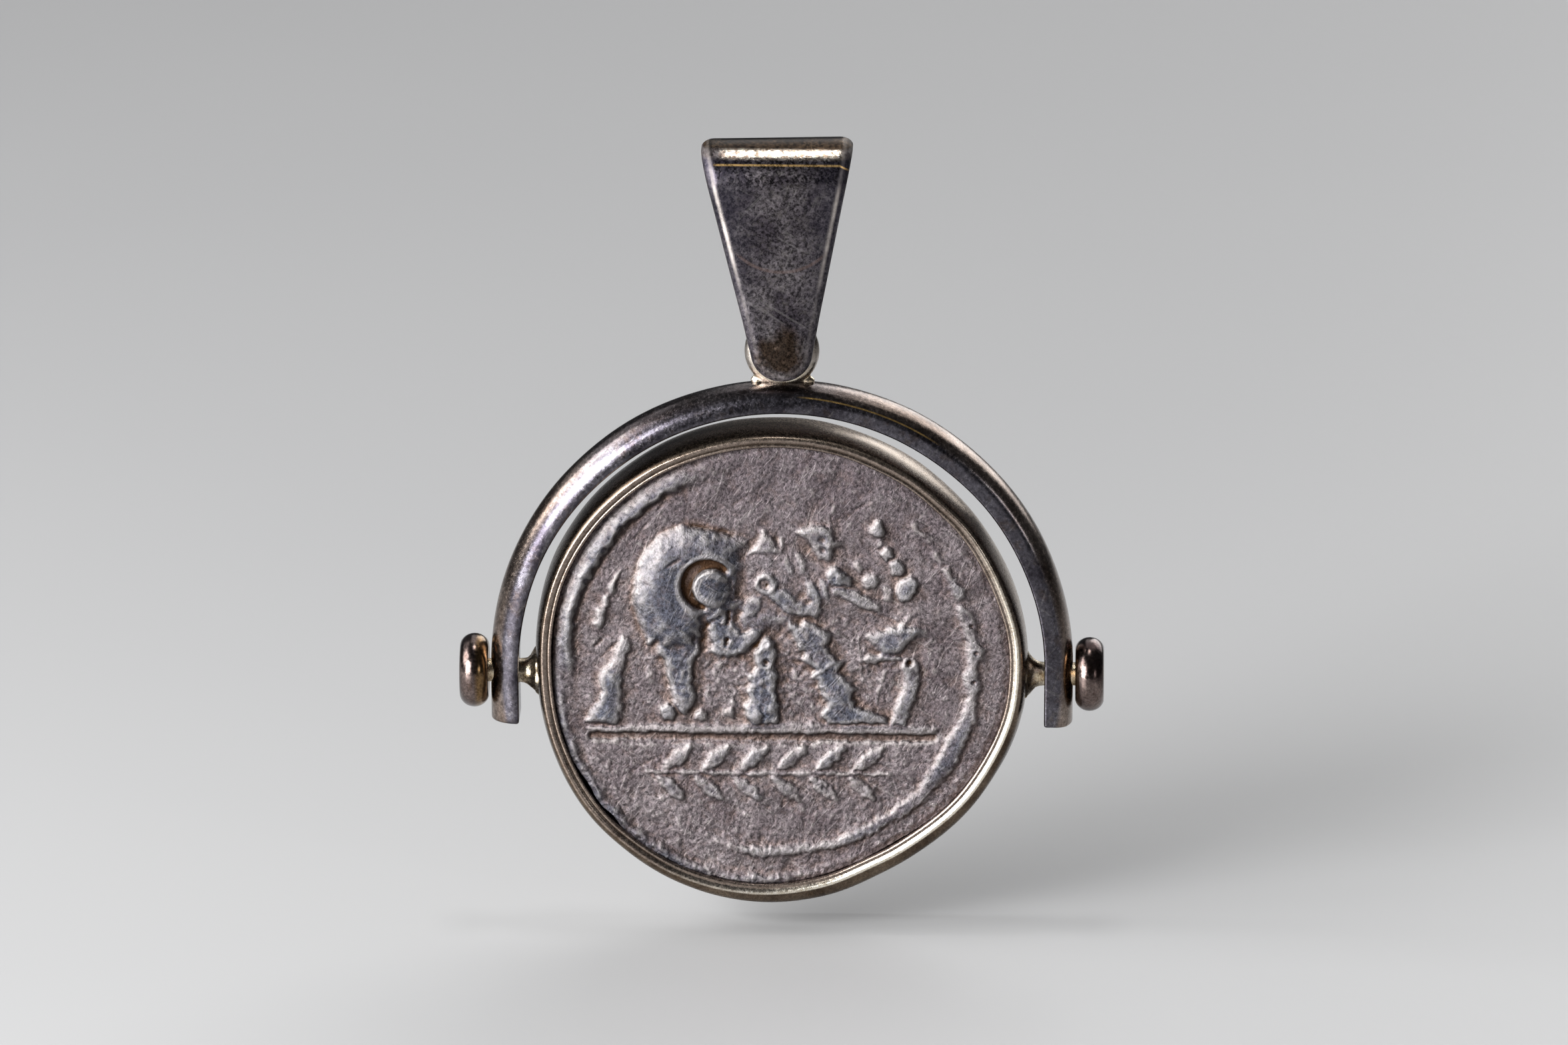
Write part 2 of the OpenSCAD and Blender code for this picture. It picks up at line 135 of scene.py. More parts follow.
trunk = [
    (0.27, 0.18, [(3.76, 6.05), (3.5, 6.36), (3.8, 6.74), (4.0, 6.82), (4.16, 6.45), (4.22, 6.2),
        (4.0, 6.0)]),
    (0.10, 0.12, [(3.9, 5.58), (3.86, 6.0), (4.1, 5.95), (4.15, 5.6)]),
    (0.25, 0.18, [(4.1, 5.08), (3.98, 5.4), (4.3, 5.66), (4.58, 5.5), (4.57, 5.15), (4.3, 4.96)]),
    (0.24, 0.18, [(4.5, 4.4), (4.4, 4.95), (4.72, 5.14), (5.0, 4.85), (5.05, 4.5), (4.8, 4.36)]),
    (0.30, 0.20, [(4.85, 3.34), (4.64, 3.65), (4.68, 4.1), (4.95, 4.28), (5.28, 4.44), (5.58, 4.2),
        (5.52, 3.8), (5.2, 3.32)]),
    (0.16, 0.18, [(4.15, 3.36), (4.08, 4.0), (4.4, 4.02), (4.54, 3.7), (4.42, 3.36)]),
    (0.22, 0.20, [(3.36, 3.95), (3.26, 4.2), (3.55, 4.52), (3.87, 4.44), (4.04, 4.18), (3.87, 3.9),
        (3.55, 3.83)]),
    (0.16, 0.18, [(2.92, 4.72), (2.9, 5.06), (3.15, 5.04), (3.34, 4.75), (3.16, 4.52)])]
tail = [
    (0.22, 0.17, [(-6.95, 3.6), (-6.98, 3.9), (-6.75, 4.25), (-6.4, 4.6), (-6.45, 4.4), (-6.65, 4.0),
        (-6.75, 3.65)]),
    (0.24, 0.17, [(-7.22, 2.95), (-7.28, 3.3), (-7.1, 3.55), (-6.95, 3.6), (-6.92, 3.3), (-7.0, 2.98)]),
    (0.26, 0.18, [(-7.4, 2.1), (-7.6, 2.3), (-7.5, 2.6), (-7.42, 2.95), (-7.05, 2.95), (-7.1, 2.6),
        (-7.2, 2.15)])]
serpent = [
    (0.32, 0.42, [(4.1, 1.05), (3.7, 1.5), (3.32, 1.98), (3.8, 2.1), (4.3, 2.3), (4.75, 2.38), (5.2, 2.65),
        (5.1, 2.35), (5.6, 2.3), (5.9, 2.1), (5.45, 1.8), (5.0, 1.35), (4.7, 1.08)]),
    (0.22, 0.12, [(3.5, 0.7), (3.35, 0.9), (3.55, 1.06), (4.1, 1.12), (4.7, 1.1), (4.98, 0.95),
        (4.3, 0.85)]),
    (0.28, 0.26, [(4.4, -1.9), (4.5, -1.4), (4.72, -0.75), (4.92, -0.25), (5.0, 0.25), (4.88, 0.6),
        (4.95, 0.98), (5.35, 1.02), (5.62, 0.75), (5.7, 0.1), (5.52, -0.6), (5.27, -1.3), (5.1, -1.9)])]
ground = [(0.20, 0.12, [(-7.6, -2.27), (-7.9, -1.98), (-6.5, -1.9), (-4.5, -1.86), (-2.0, -1.86),
    (0.0, -1.8), (2.2, -1.78), (4.0, -1.86), (5.8, -1.86), (6.4, -1.95), (6.2, -2.25), (3.0, -2.32),
    (-0.5, -2.32), (-4.0, -2.3)])]
# The worn border runs round the right, a chain of flattened beads, and is all but gone at the lower left.
border = [
    (0.17, 0.20, [(-1.1, -7.5), (-2.0, -7.0), (-1.1, -6.98), (-0.3, -6.95), (0.65, -6.85), (1.5, -6.76),
        (2.17, -6.62), (2.7, -6.34), (3.18, -6.2), (3.58, -5.98), (4.0, -5.58), (4.3, -5.5), (4.65, -5.23),
        (5.12, -4.88), (5.52, -4.46), (5.8, -4.04), (6.13, -3.55), (6.33, -3.18), (6.6, -2.64),
        (6.9, -2.15), (7.2, -1.55), (7.27, -1.3), (7.35, -0.95), (7.54, -0.63), (7.46, -0.35), (7.28, 0.1),
        (7.36, 0.35), (7.54, 0.65), (7.46, 1.0), (7.41, 1.3), (7.54, 1.6), (7.35, 2.05), (7.25, 2.43),
        (7.08, 2.8), (7.19, 3.2), (7.33, 3.28), (7.86, 2.95), (7.9, 2.4), (7.92, 2.05), (8.1, 1.65),
        (8.3, 1.4), (8.26, 0.95), (8.0, 0.65), (8.05, 0.15), (8.2, -0.35), (7.97, -0.65), (8.05, -1.2),
        (7.95, -1.7), (7.7, -2.2), (7.47, -2.8), (7.2, -3.4), (6.8, -4.0), (6.3, -4.6), (5.9, -5.1),
        (5.3, -5.5), (4.98, -5.87), (4.4, -6.05), (4.05, -6.36), (3.1, -6.8), (2.3, -7.05), (1.3, -7.3),
        (0.0, -7.45)]),
    (0.15, 0.22, [(6.95, 3.6), (6.72, 3.85), (6.8, 4.1), (6.58, 4.4), (6.45, 4.78), (6.75, 4.9), (7.2, 4.2),
        (7.55, 3.9), (7.5, 3.45), (7.2, 3.3)]),
    (0.12, 0.25, [(6.05, 5.1), (5.95, 5.4), (6.15, 5.65), (6.5, 5.3), (6.7, 4.95), (6.4, 4.85)]),
    (0.11, 0.30, [(5.3, 6.05), (5.12, 6.5), (5.35, 6.75), (5.7, 6.5), (6.2, 5.95), (6.05, 5.75),
        (5.7, 5.82)]),
    (0.05, 0.40, [(-1.0, -7.7), (-1.1, -7.0), (-3.0, -6.4), (-4.5, -5.55), (-6.0, -4.85), (-6.9, -4.2),
        (-7.2, -4.8), (-6.3, -5.6), (-4.8, -6.35), (-3.2, -7.1)])]
sprig = [(0.17, 0.12, [(-5.5, -3.98), (-5.45, -3.8), (0.0, -3.82), (4.5, -3.86), (4.5, -3.96),
    (0.0, -4.0)])]
for i in range(6):
    for side in (-1, 1):
        at = -5.15 + 1.55 * i + (0.3 if side > 0 else 0.0)
        leaf = [(0.0, 0.08), (0.22, 0.55), (0.62, 0.98), (1.15, 1.2), (1.3, 1.12), (1.12, 0.62),
            (0.7, 0.26), (0.3, 0.08)]
        sprig.append((0.24, 0.2, [(at + x, -3.9 + side * z) for x, z in leaf]))

# Middle and radius of the crescent punch, of the disc standing in it, and of the curl of the ear.
punch_x, punch_z, punch_r = -2.99, 4.04, 1.07
disc_x, disc_z, disc_r = -2.80, 3.91, 0.76
curl_x, curl_z, curl_r = -0.62, 4.03, 0.36
# Fine raised lines: start x and z, end x and z, start and end half width.
threads = [(3.42, 1.95, 4.08, 1.12, 0.07, 0.07), (4.6, 0.85, 4.15, 0.3, 0.06, 0.06),
    (4.15, 0.3, 3.95, -0.4, 0.06, 0.06), (3.95, -0.4, 3.85, -1.0, 0.06, 0.05),
    (1.42, 0.3, 2.2, 0.85, 0.08, 0.08), (3.12, 1.8, 3.3, 0.05, 0.09, 0.06),
    (2.92, 1.75, 2.95, 1.2, 0.05, 0.05), (2.1, 7.9, 2.12, 6.75, 0.06, 0.05),
    (1.95, 6.9, 1.98, 6.45, 0.06, 0.08), (1.08, 4.48, 1.04, 4.12, 0.07, 0.06),
    (2.85, 4.05, 3.6, 3.38, 0.07, 0.06), (-1.42, 4.95, -1.38, 5.35, 0.06, 0.08),
    (-2.95, 2.1, -2.92, 1.3, 0.08, 0.06), (-2.9, 2.6, -2.4, 2.95, 0.12, 0.16),
    (-0.66, -0.95, -0.6, -1.7, 0.07, 0.05), (-0.8, 0.62, -0.5, 0.52, 0.07, 0.07),
    (-0.5, 0.52, -0.48, 0.85, 0.06, 0.05), (-2.8, -2.0, -2.86, -2.2, 0.05, 0.04),
    (-2.62, -1.98, -2.56, -2.2, 0.05, 0.04), (-1.9, 4.2, -1.88, 3.5, 0.06, 0.07)]

# Round swellings and sinks on the head, the ear and the flank: x, z, radius and height.
lumps = [(1.6, 5.9, 0.22, -0.10), (1.68, 5.5, 0.2, -0.08), (1.95, 5.65, 0.2, 0.05),
    (2.35, 4.35, 0.25, 0.05), (2.1, 4.25, 0.2, -0.05), (-0.2, 5.9, 0.2, -0.06), (-0.5, 1.42, 0.2, 0.10),
    (-0.85, 1.25, 0.18, 0.05), (-0.62, 0.8, 0.22, -0.12), (-0.95, -1.4, 0.4, 0.08),
    (-0.4, -1.15, 0.35, 0.08), (-0.65, -0.2, 0.25, -0.06), (-5.3, 1.6, 0.2, 0.12), (-3.0, 2.9, 0.6, -0.10),
    (-2.2, 2.6, 0.4, 0.06), (-1.7, 1.6, 0.4, -0.05), (0.9, 3.6, 0.3, -0.06), (4.9, 1.6, 0.5, 0.04),
    (5.5, 0.3, 0.4, -0.04), (-6.85, 0.1, 0.3, 0.04)]
# Pits with dirt in them: x, z, radius and depth.
pits = [(7.7, 2.32, 0.07, 0.1), (7.91, 1.2, 0.08, 0.12), (7.81, -0.03, 0.08, 0.12),
    (5.2, 0.77, 0.14, 0.2), (-2.18, 1.72, 0.09, 0.2), (-2.2, 1.55, 0.08, 0.16), (-0.57, 4.0, 0.06, 0.12),
    (-3.0, 6.5, 0.05, 0.05), (2.0, -4.9, 0.05, 0.05), (-5.6, -1.0, 0.05, 0.05)]
# Scratches: start x and z, end x and z, half width and depth (a minus stands up).
scratches = [(-2.1, 2.9, -2.15, 2.4, 0.05, 0.12), (-4.6, 4.8, -4.1, 5.1, 0.05, 0.05),
    (-4.0, 5.0, -3.7, 5.05, 0.04, 0.04), (-4.9, -3.2, -6.5, -4.1, 0.04, 0.02),
    (-1.0, -5.2, 0.2, -5.6, 0.03, 0.02), (-3.6, 6.47, -2.2, 6.22, 0.04, 0.05),
    (4.0, -3.5, 5.4, -4.4, 0.03, 0.02), (-7.3, 0.9, -6.6, 1.6, 0.03, 0.03),
    (2.7, 6.9, 3.4, 7.4, 0.04, 0.03), (-2.0, 7.3, -0.6, 8.2, 0.03, 0.02),
    (-5.9, 5.9, -4.8, 7.3, 0.04, 0.02), (0.3, -7.6, 1.9, -8.0, 0.03, 0.02),
    (-7.55, 1.35, -7.3, 1.6, 0.05, 0.05), (3.3, 3.0, 4.6, 2.5, 0.04, 0.03),
    (-5.6, 0.75, -4.85, 0.92, 0.05, 0.05)]


def within(x, z, outline):
    """How far in mm each place lies inside an outline; below zero outside."""
    deep = np.full(len(x), -9.0)
    corners = np.array(outline)
    near = ((x > corners[:, 0].min() - 0.4) & (x < corners[:, 0].max() + 0.4)
        & (z > corners[:, 1].min() - 0.4) & (z < corners[:, 1].max() + 0.4))
    px, pz = x[near], z[near]
    away = np.full(len(px), 9.0)
    crossings = np.zeros(len(px), bool)
    for (x0, z0), (x1, z1) in zip(outline, outline[1:] + outline[:1]):
        dx, dz = x1 - x0, z1 - z0
        t = np.clip(((px - x0) * dx + (pz - z0) * dz) / (dx * dx + dz * dz), 0, 1)
        away = np.minimum(away, np.hypot(px - x0 - t * dx, pz - z0 - t * dz))
        if dz:
            crossings ^= ((z0 > pz) != (z1 > pz)) & (px < x0 + (pz - z0) * dx / dz)
    deep[near] = np.where(crossings, away, -away)
    return deep


def stroke(x, z, x0, z0, x1, z1, r0, r1):
    """How far in mm each place lies inside a round-ended stroke."""
    dx, dz = x1 - x0, z1 - z0
    t = np.clip(((x - x0) * dx + (z - z0) * dz) / (dx * dx + dz * dz), 0, 1)
    return r0 + t * (r1 - r0) - np.hypot(x - x0 - t * dx, z - z0 - t * dz)


def smooth(t):
    """An even rise from 0 to 1."""
    t = np.clip(t, 0, 1)
    return t * t * (3 - 2 * t)


def uneven(x, z, size, seed):
    """Soft noise from about -1 to 1 with features of that size in mm."""
    return np.array([noise.noise(Vector((a / size, b / size, seed))) for a, b in zip(x, z)]) * 1.6


def coin_relief(x, z):
    """Height of the struck side above its field, in mm."""
    wx = x + 0.03 * uneven(x, z, 0.8, 1.3) + 0.042 * uneven(x, z, 0.3, 2.3) + 0.03 * uneven(x, z, 0.16, 3.3)
    wz = z + 0.03 * uneven(x, z, 0.8, 5.3) + 0.042 * uneven(x, z, 0.3, 6.3) + 0.03 * uneven(x, z, 0.16, 7.3)
    high = np.zeros_like(x)
    for forms, worn, narrow, overlap in ((body, 0.92, 1.0, 0.3), (legs, 0.66, 0.6, 0.0),
            (tail, 0.65, 0.7, 0.3), (serpent, 0.58, 0.6, 0.3), (ground, 0.5, 0.9, 0.2),
            (border, 0.8, 1.0, 0.3), (sprig, 0.52, 0.6, 0.3), (head, 0.62, 0.75, 0.3),
            (trunk, 0.62, 0.65, 0.3)):
        for top, shoulder, outline in forms:
            shoulder *= narrow
            deep = within(wx, wz, outline) + 0.03
            ramp = np.clip(deep / shoulder, 0, 1)
            foot = smooth((deep + 0.28) / (shoulder + 0.4))
            far_in = smooth(deep / (4 * shoulder))
            rise = worn * top * (0.28 * ramp + 0.32 * smooth(ramp) + 0.28 * foot + 0.12 * far_in)
            if outline is body[0][2]:
                rise = worn * top * (1 - (1 - ramp) ** 2) + 0.03 * smooth(deep / 0.1)
                rise *= 1 - 0.55 * smooth((wx + 3.0) / 1.8) * smooth((wz - 2.2) / 0.6)
            high = np.maximum(high, rise) + overlap * np.minimum(high, rise)
    for x0, z0, x1, z1, r0, r1 in threads:
        high += 0.045 * smooth(stroke(wx, wz, x0, z0, x1, z1, r0, r1) / 0.07)
    for at_x, at_z, r, h in lumps:
        high += h * smooth(1 - np.hypot(wx - at_x, wz - at_z) / r)
    # The curl of the ear.
    away = np.abs(np.hypot(wx - curl_x, wz - curl_z) - curl_r)
    high += 0.11 * np.exp(-((away / 0.1) ** 2))
    high += 0.07 * smooth(stroke(wx, wz, -0.45, 4.15, -0.42, 3.8, 0.08, 0.1) / 0.09)
    # Crescent punch in the haunch, open to the lower right, round a standing disc.
    outer = np.hypot(x - punch_x, z - punch_z)
    inner = np.hypot(x - disc_x, z - disc_z)
    turn = np.arctan2(z - disc_z, x - disc_x)
    open_end = smooth((np.cos(turn - math.radians(150)) + 0.45) / 0.5)
    groove = smooth((punch_r - outer) / 0.08 + 0.5) * smooth((inner - disc_r) / 0.08 + 0.5)
    high -= 0.34 * groove * open_end
    high += 0.03 * smooth((disc_r + 0.02 - inner) / 0.1 + 0.5)
    # Groove under the ground line.
    high -= 0.11 * smooth(1.6 + stroke(wx, wz, -7.6, -2.36, 6.1, -2.4, 0.06, 0.07) / 0.09)
    high -= 0.05 * smooth(1.3 + stroke(wx, wz, -6.5, -2.62, 1.2, -2.66, 0.03, 0.03) / 0.06)
    for x0, z0, x1, z1, half, deep in scratches:
        high -= deep * smooth(1.2 + stroke(x, z, x0, z0, x1, z1, half * 0.4, half) / half)
    for at_x, at_z, r, deep in pits:
        high -= deep * smooth(1.4 - np.hypot(x - at_x, z - at_z) / r)
    # Worn, pitted field, roughest under the body and in the lower field.
    under_body = smooth(1.3 - np.hypot((x + 0.4) / 6.2, (z - 0.6) / 2.6))
    rough = 0.55 + 0.9 * under_body + 0.3 * smooth((-z - 2.4) / 1.5)
    high += 0.024 * uneven(x, z, 2.2, 8.1) + 0.028 * uneven(x, z, 0.8, 9.4)
    worn_smooth = 1 - 0.3 * smooth((high - 0.05) / 0.1) - 0.3 * smooth((high - 0.2) / 0.1)
    high += worn_smooth * rough * (0.018 * uneven(x, z, 0.36, 11.7) + 0.020 * uneven(x, z, 0.17, 13.2))
    # The lip turned up along the upper left when the edge was hammered.
    angle = np.degrees(np.arctan2(z, x)) % 360
    share = np.hypot(x, z) / (coin_edge(angle) - edge_inset)
    share = share + 0.008 * uneven(x, z, 0.7, 17.5) + 0.005 * uneven(x, z, 0.3, 18.5)
    reach = np.exp(-(((angle - 145) / 34) ** 4))
    high += 0.26 * reach * smooth((share - 0.895) / 0.04) * (1 - smooth((share - 0.935) / 0.065))
    high += 0.15 * np.exp(-(((angle - 228) / 58) ** 4)) * smooth((share - 0.935) / 0.05)
    return high


def edge_fall(x, z):
    """How far the rim of the coin is hammered down, most along the upper left."""
    angle = np.degrees(np.arctan2(z, x)) % 360
    share = np.hypot(x, z) / (coin_edge(angle) - edge_inset)
    ragged = share + 0.006 * uneven(x, z, 0.6, 15.5) + 0.004 * uneven(x, z, 0.22, 16.5)
    fall = 0.06 + 0.03 * np.exp(-((angle - 150) / 48) ** 2)
    return fall * smooth((ragged - 0.965) / 0.035)


def edit(choice="SELECT"):
    """Opens the active piece for editing with all or nothing of it selected."""
    bpy.ops.object.mode_set(mode="EDIT")
    bpy.ops.mesh.select_all(action=choice)


def face_outward():
    """Turns every face of the piece outward and closes it again."""
    bpy.ops.mesh.select_all(action="SELECT")
    bpy.ops.mesh.normals_make_consistent(inside=False)
    bpy.ops.object.mode_set(mode="OBJECT")


def coin_side(cells, to_front):
    """One face of the coin: a square grid spread over the coin's outline."""
    bpy.ops.mesh.primitive_grid_add(x_subdivisions=cells, y_subdivisions=cells, size=2,
        rotation=(math.radians(90 if to_front else -90), 0, 0))
    side = bpy.context.object
    bpy.ops.object.transform_apply(location=False, rotation=True, scale=False)
    places = np.empty(len(side.data.vertices) * 3)
    side.data.vertices.foreach_get("co", places)
    u, v = places[0::3], places[2::3]
    x, z = u * np.sqrt(1 - v * v / 2), v * np.sqrt(1 - u * u / 2)
    reach = coin_edge(np.degrees(np.arctan2(z, x))) - edge_inset
    x, z = x * reach, z * reach
    if to_front:
        high = coin_relief(x, z)
        level = -field_half - high + edge_fall(x, z)
    else:
        # Worn flat back inside a low border.
        share = np.hypot(x, z) / reach
        high = 0.15 * smooth(1.5 - np.abs(share - 0.9) / 0.035) + 0.03 * uneven(x, z, 2.5, 21.0)
        high += 0.012 * uneven(x, z, 0.7, 23.0)
        level = field_half + high
    places[0::3] = post_x + x * MM
    places[1::3] = level * MM
    places[2::3] = post_z + z * MM
    side.data.vertices.foreach_set("co", places)
    return side, high


bpy.ops.object.select_all(action="DESELECT")
front_cells = 288
coin, high = coin_side(front_cells, True)
edit()
bpy.ops.mesh.select_mode(type="EDGE")
bpy.ops.mesh.region_to_loop()
for level, out in ((-1.02, 0.04), (-0.85, 0.04), (0.85, 0.0), (1.02, -0.02)):
    bpy.ops.mesh.extrude_region_move()
    bpy.ops.transform.resize(value=(1, 0, 1), center_override=(post_x, level * MM, post_z))
    grow = 1 + out / coin_r
    bpy.ops.transform.resize(value=(grow, 1, grow), center_override=(post_x, level * MM, post_z))
bpy.ops.object.mode_set(mode="OBJECT")
bpy.ops.object.select_all(action="DESELECT")
back, _ = coin_side(front_cells // 4, False)
back.select_set(True)
coin.select_set(True)
bpy.context.view_layer.objects.active = coin
bpy.ops.object.join()
coin.name = "coin_struck"
edit("DESELECT")
bpy.ops.mesh.select_mode(type="EDGE")
bpy.ops.mesh.select_non_manifold()
bpy.ops.mesh.bridge_edge_loops()
face_outward()
bpy.ops.object.shade_smooth()
# Below its dented face the edge fills the bezel.
for point in coin.data.vertices:
    if abs(point.co.y) < 0.9 * MM:
        x, z = point.co.x - post_x, point.co.z - post_z
        full_r = float(rim_radius(math.degrees(math.atan2(z, x)))) - edge_gap - 0.005
        grow = full_r * MM / math.hypot(x, z)
        point.co.x, point.co.z = post_x + x * grow, post_z + z * grow

# How far each place stands up or lies in a hollow, painted on the mesh for its tarnish.
rows = front_cells + 1
grid = high.reshape(rows, rows)


def spread(values, times):
    """Each value of a grid averaged with its neighbours, a number of times."""
    for _ in range(times):
        wide = np.pad(values, 1, mode="edge")
        values = (wide[:-2, 1:-1] + wide[2:, 1:-1] + wide[1:-1, :-2] + wide[1:-1, 2:] + values) / 5
    return values


# The steepness of the slopes, in mm to the mm, and how far they turn to the upper left, toward the main
# lamp. That turn and the ridges are painted on the mesh to paint highlights and shade on the coin.
face_points = coin.data.vertices[:rows * rows]
flat_x = np.array([(point.co.x - post_x) / MM for point in face_points]).reshape(rows, rows)
flat_z = np.array([(point.co.z - post_z) / MM for point in face_points]).reshape(rows, rows)
(x_v, x_u), (z_v, z_u), (h_v, h_u) = np.gradient(flat_x), np.gradient(flat_z), np.gradient(spread(grid, 1))
turn = x_u * z_v - x_v * z_u
slope_x = (h_u * z_v - h_v * z_u) / turn
slope_z = (h_v * x_u - h_u * x_v) / turn
for label, values in (("raised", grid / 0.3), ("hollow", (spread(grid, 40) - grid) / 0.06),
        ("ridge_highlight", (spread(grid, 2) - spread(grid, 10)) / 0.008), ("rubbed", 0.8 * slope_x - 0.6 * slope_z)):
    painted = np.zeros(len(coin.data.vertices))
    painted[: rows * rows] = values.reshape(-1)
    coin.data.attributes.new(label, "FLOAT", "POINT").data.foreach_set("value", painted)
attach(coin, "flip_frame")
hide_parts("coin")


def add(tree, kind, inputs=None, **settings):
    """A shader node with its settings, and its inputs linked or set."""
    made = tree.nodes.new(kind)
    for name, value in settings.items():
        setattr(made, name, value)
    for name, value in (inputs or {}).items():
        if isinstance(value, bpy.types.NodeSocket):
            tree.links.new(value, made.inputs[name])
        else:
            made.inputs[name].default_value = value
    return made


def blend(tree, share, first, second, how="MIX"):
    """Mixes two colours by a share from 0 to 1."""
    return add(tree, "ShaderNodeMix", {0: share, 6: first, 7: second}, data_type="RGBA",
        blend_type=how).outputs[2]


def stretch(tree, value, low, high, to_low=0.0, to_high=1.0):
    """Stretches a value between two levels, clamped."""
    return add(tree, "ShaderNodeMapRange", {0: value, 1: low, 2: high, 3: to_low, 4: to_high}).outputs[0]


def maths(tree, operation, *values):
    """One step of arithmetic on numbers or sockets."""
    return add(tree, "ShaderNodeMath", dict(enumerate(values)), operation=operation).outputs[0]


def tint(tree, colour, mask, strength, tone):
    """Lays a tone over a colour through a mask."""
    return blend(tree, maths(tree, "MULTIPLY", mask, strength), colour, tone)


def attribute(tree, name):
    """A value painted on the mesh."""
    return add(tree, "ShaderNodeAttribute", attribute_name=name).outputs["Fac"]


# Patches of tarnish, a fine grain and hairline scratches, shared by all the silver.
tarnish = bpy.data.node_groups.new("silver_tarnish", "ShaderNodeTree")
for label, kind in (("Place", "Vector"), ("Patch Scale", "Float"), ("Grain Scale", "Float")):
    tarnish.interface.new_socket(name=label, in_out="INPUT", socket_type="NodeSocket" + kind)
for label in ("Patches", "Spots", "Grain", "Hairlines"):
    tarnish.interface.new_socket(name=label, in_out="OUTPUT", socket_type="NodeSocketFloat")
t_in = tarnish.nodes.new("NodeGroupInput")
t_out = tarnish.nodes.new("NodeGroupOutput")
askew = add(tarnish, "ShaderNodeMapping", {"Vector": t_in.outputs["Place"],
    "Rotation": (0.6, 0.45, 0.8)}).outputs[0]
patch = add(tarnish, "ShaderNodeTexNoise", {"Vector": askew, "Scale": t_in.outputs["Patch Scale"],
    "Detail": 5.0, "Roughness": 0.62, "Distortion": 0.4})
spot_scale = maths(tarnish, "MULTIPLY", t_in.outputs["Patch Scale"], 3.7)
spots = add(tarnish, "ShaderNodeTexNoise", {"Vector": askew, "Scale": spot_scale, "Detail": 4.0,
    "Roughness": 0.7})
grain = add(tarnish, "ShaderNodeTexNoise", {"Vector": askew, "Scale": t_in.outputs["Grain Scale"],
    "Detail": 4.0, "Roughness": 0.78})
lines = []
for turn, longways in ((0.55, 16.0), (-0.85, 20.0), (1.9, 14.0)):
    turned_place = add(tarnish, "ShaderNodeMapping", {"Vector": t_in.outputs["Place"],
        "Rotation": (0.0, turn, 0.0), "Scale": (longways, 1.0, 1.0)}, vector_type="TEXTURE")
    drawn_out = add(tarnish, "ShaderNodeTexNoise", {"Vector": turned_place.outputs[0],
        "Scale": t_in.outputs["Grain Scale"], "Detail": 1.0})
    lines.append(stretch(tarnish, drawn_out.outputs["Fac"], 0.66, 0.72))
all_lines = maths(tarnish, "MAXIMUM", maths(tarnish, "MAXIMUM", lines[0], lines[1]), lines[2])
tarnish.links.new(stretch(tarnish, patch.outputs["Fac"], 0.36, 0.64), t_out.inputs["Patches"])
tarnish.links.new(stretch(tarnish, spots.outputs["Fac"], 0.52, 0.68), t_out.inputs["Spots"])
tarnish.links.new(grain.outputs["Fac"], t_out.inputs["Grain"])
tarnish.links.new(all_lines, t_out.inputs["Hairlines"])


def new_silver(name, patch_size, grain_size):
    """A material with the tarnish group in place: its tree, its coordinates and the group's outputs."""
    made = bpy.data.materials.new(name)
    made.use_nodes = True
    tree = made.node_tree
    place = add(tree, "ShaderNodeTexCoord").outputs["Object"]
    skin = add(tree, "ShaderNodeGroup", node_tree=tarnish)
    tree.links.new(place, skin.inputs["Place"])
    skin.inputs["Patch Scale"].default_value = 1 / (patch_size * MM)
    skin.inputs["Grain Scale"].default_value = 1 / (grain_size * MM)
    return made, tree, place, skin.outputs


def finish_silver(tree, skin, colour, rough, bump_strength, bump_size):
    """Links the colour and the roughness, and bumps the surface with its grain."""
    shader = tree.nodes["Principled BSDF"]
    tree.links.new(colour, shader.inputs["Base Color"])
    shader.inputs["Metallic"].default_value = 1.0
    tree.links.new(rough, shader.inputs["Roughness"])
    bump = add(tree, "ShaderNodeBump", {"Height": skin["Grain"], "Strength": bump_strength,
        "Distance": bump_size * MM})
    tree.links.new(bump.outputs[0], shader.inputs["Normal"])
    return shader, bump.outputs[0]


def distance_from(tree, place, height):
    """Distance in the pendant's own plane from its middle line at that height."""
    centred = add(tree, "ShaderNodeMapping", {"Vector": place, "Location": (-post_x, 0, -height),
        "Scale": (1.0, 0.0, 1.0)}).outputs[0]
    return add(tree, "ShaderNodeVectorMath", {0: centred}, operation="LENGTH").outputs["Value"]


struck, tree, place, skin = new_silver("struck_silver", 1.6, 0.13)
raised = stretch(tree, attribute(tree, "raised"), 0.22, 0.6)
hollow = stretch(tree, attribute(tree, "hollow"), 0.1, 1.0)
deep_hollow = stretch(tree, attribute(tree, "hollow"), 1.1, 2.0)
ridge_highlight = stretch(tree, attribute(tree, "ridge_highlight"), 0.3, 1.6)
# Painted light: slopes turned to the upper-left lamp get a painted highlight, slopes turned away get a
# painted shade.
rubbed = attribute(tree, "rubbed")
light_facing = stretch(tree, rubbed, 0.18, 0.8, 0.0, 0.72)
painted_highlight = maths(tree, "MULTIPLY", light_facing, stretch(tree, skin["Grain"], 0.35, 0.65, 0.35, 1.0))
painted_shade = stretch(tree, rubbed, -0.15, -0.7, 0.0, 0.7)
field_colour = blend(tree, skin["Patches"], (0.083, 0.067, 0.072, 1), (0.138, 0.118, 0.123, 1))
raised_share = maths(tree, "MULTIPLY", raised, stretch(tree, skin["Patches"], 0, 1, 1.0, 0.7))
colour = blend(tree, raised_share, field_colour, (0.053, 0.057, 0.075, 1))
place_z = add(tree, "ShaderNodeSeparateXYZ", {0: place}).outputs["Z"]
upper = stretch(tree, place_z, post_z + 5.0 * MM, post_z + 8.0 * MM, 0.0, 0.5)
colour = blend(tree, upper, colour, (0.060, 0.048, 0.054, 1))
colour = tint(tree, colour, hollow, 0.7, (0.115, 0.076, 0.060, 1))
colour = tint(tree, colour, skin["Spots"], 0.42, (0.082, 0.057, 0.052, 1))
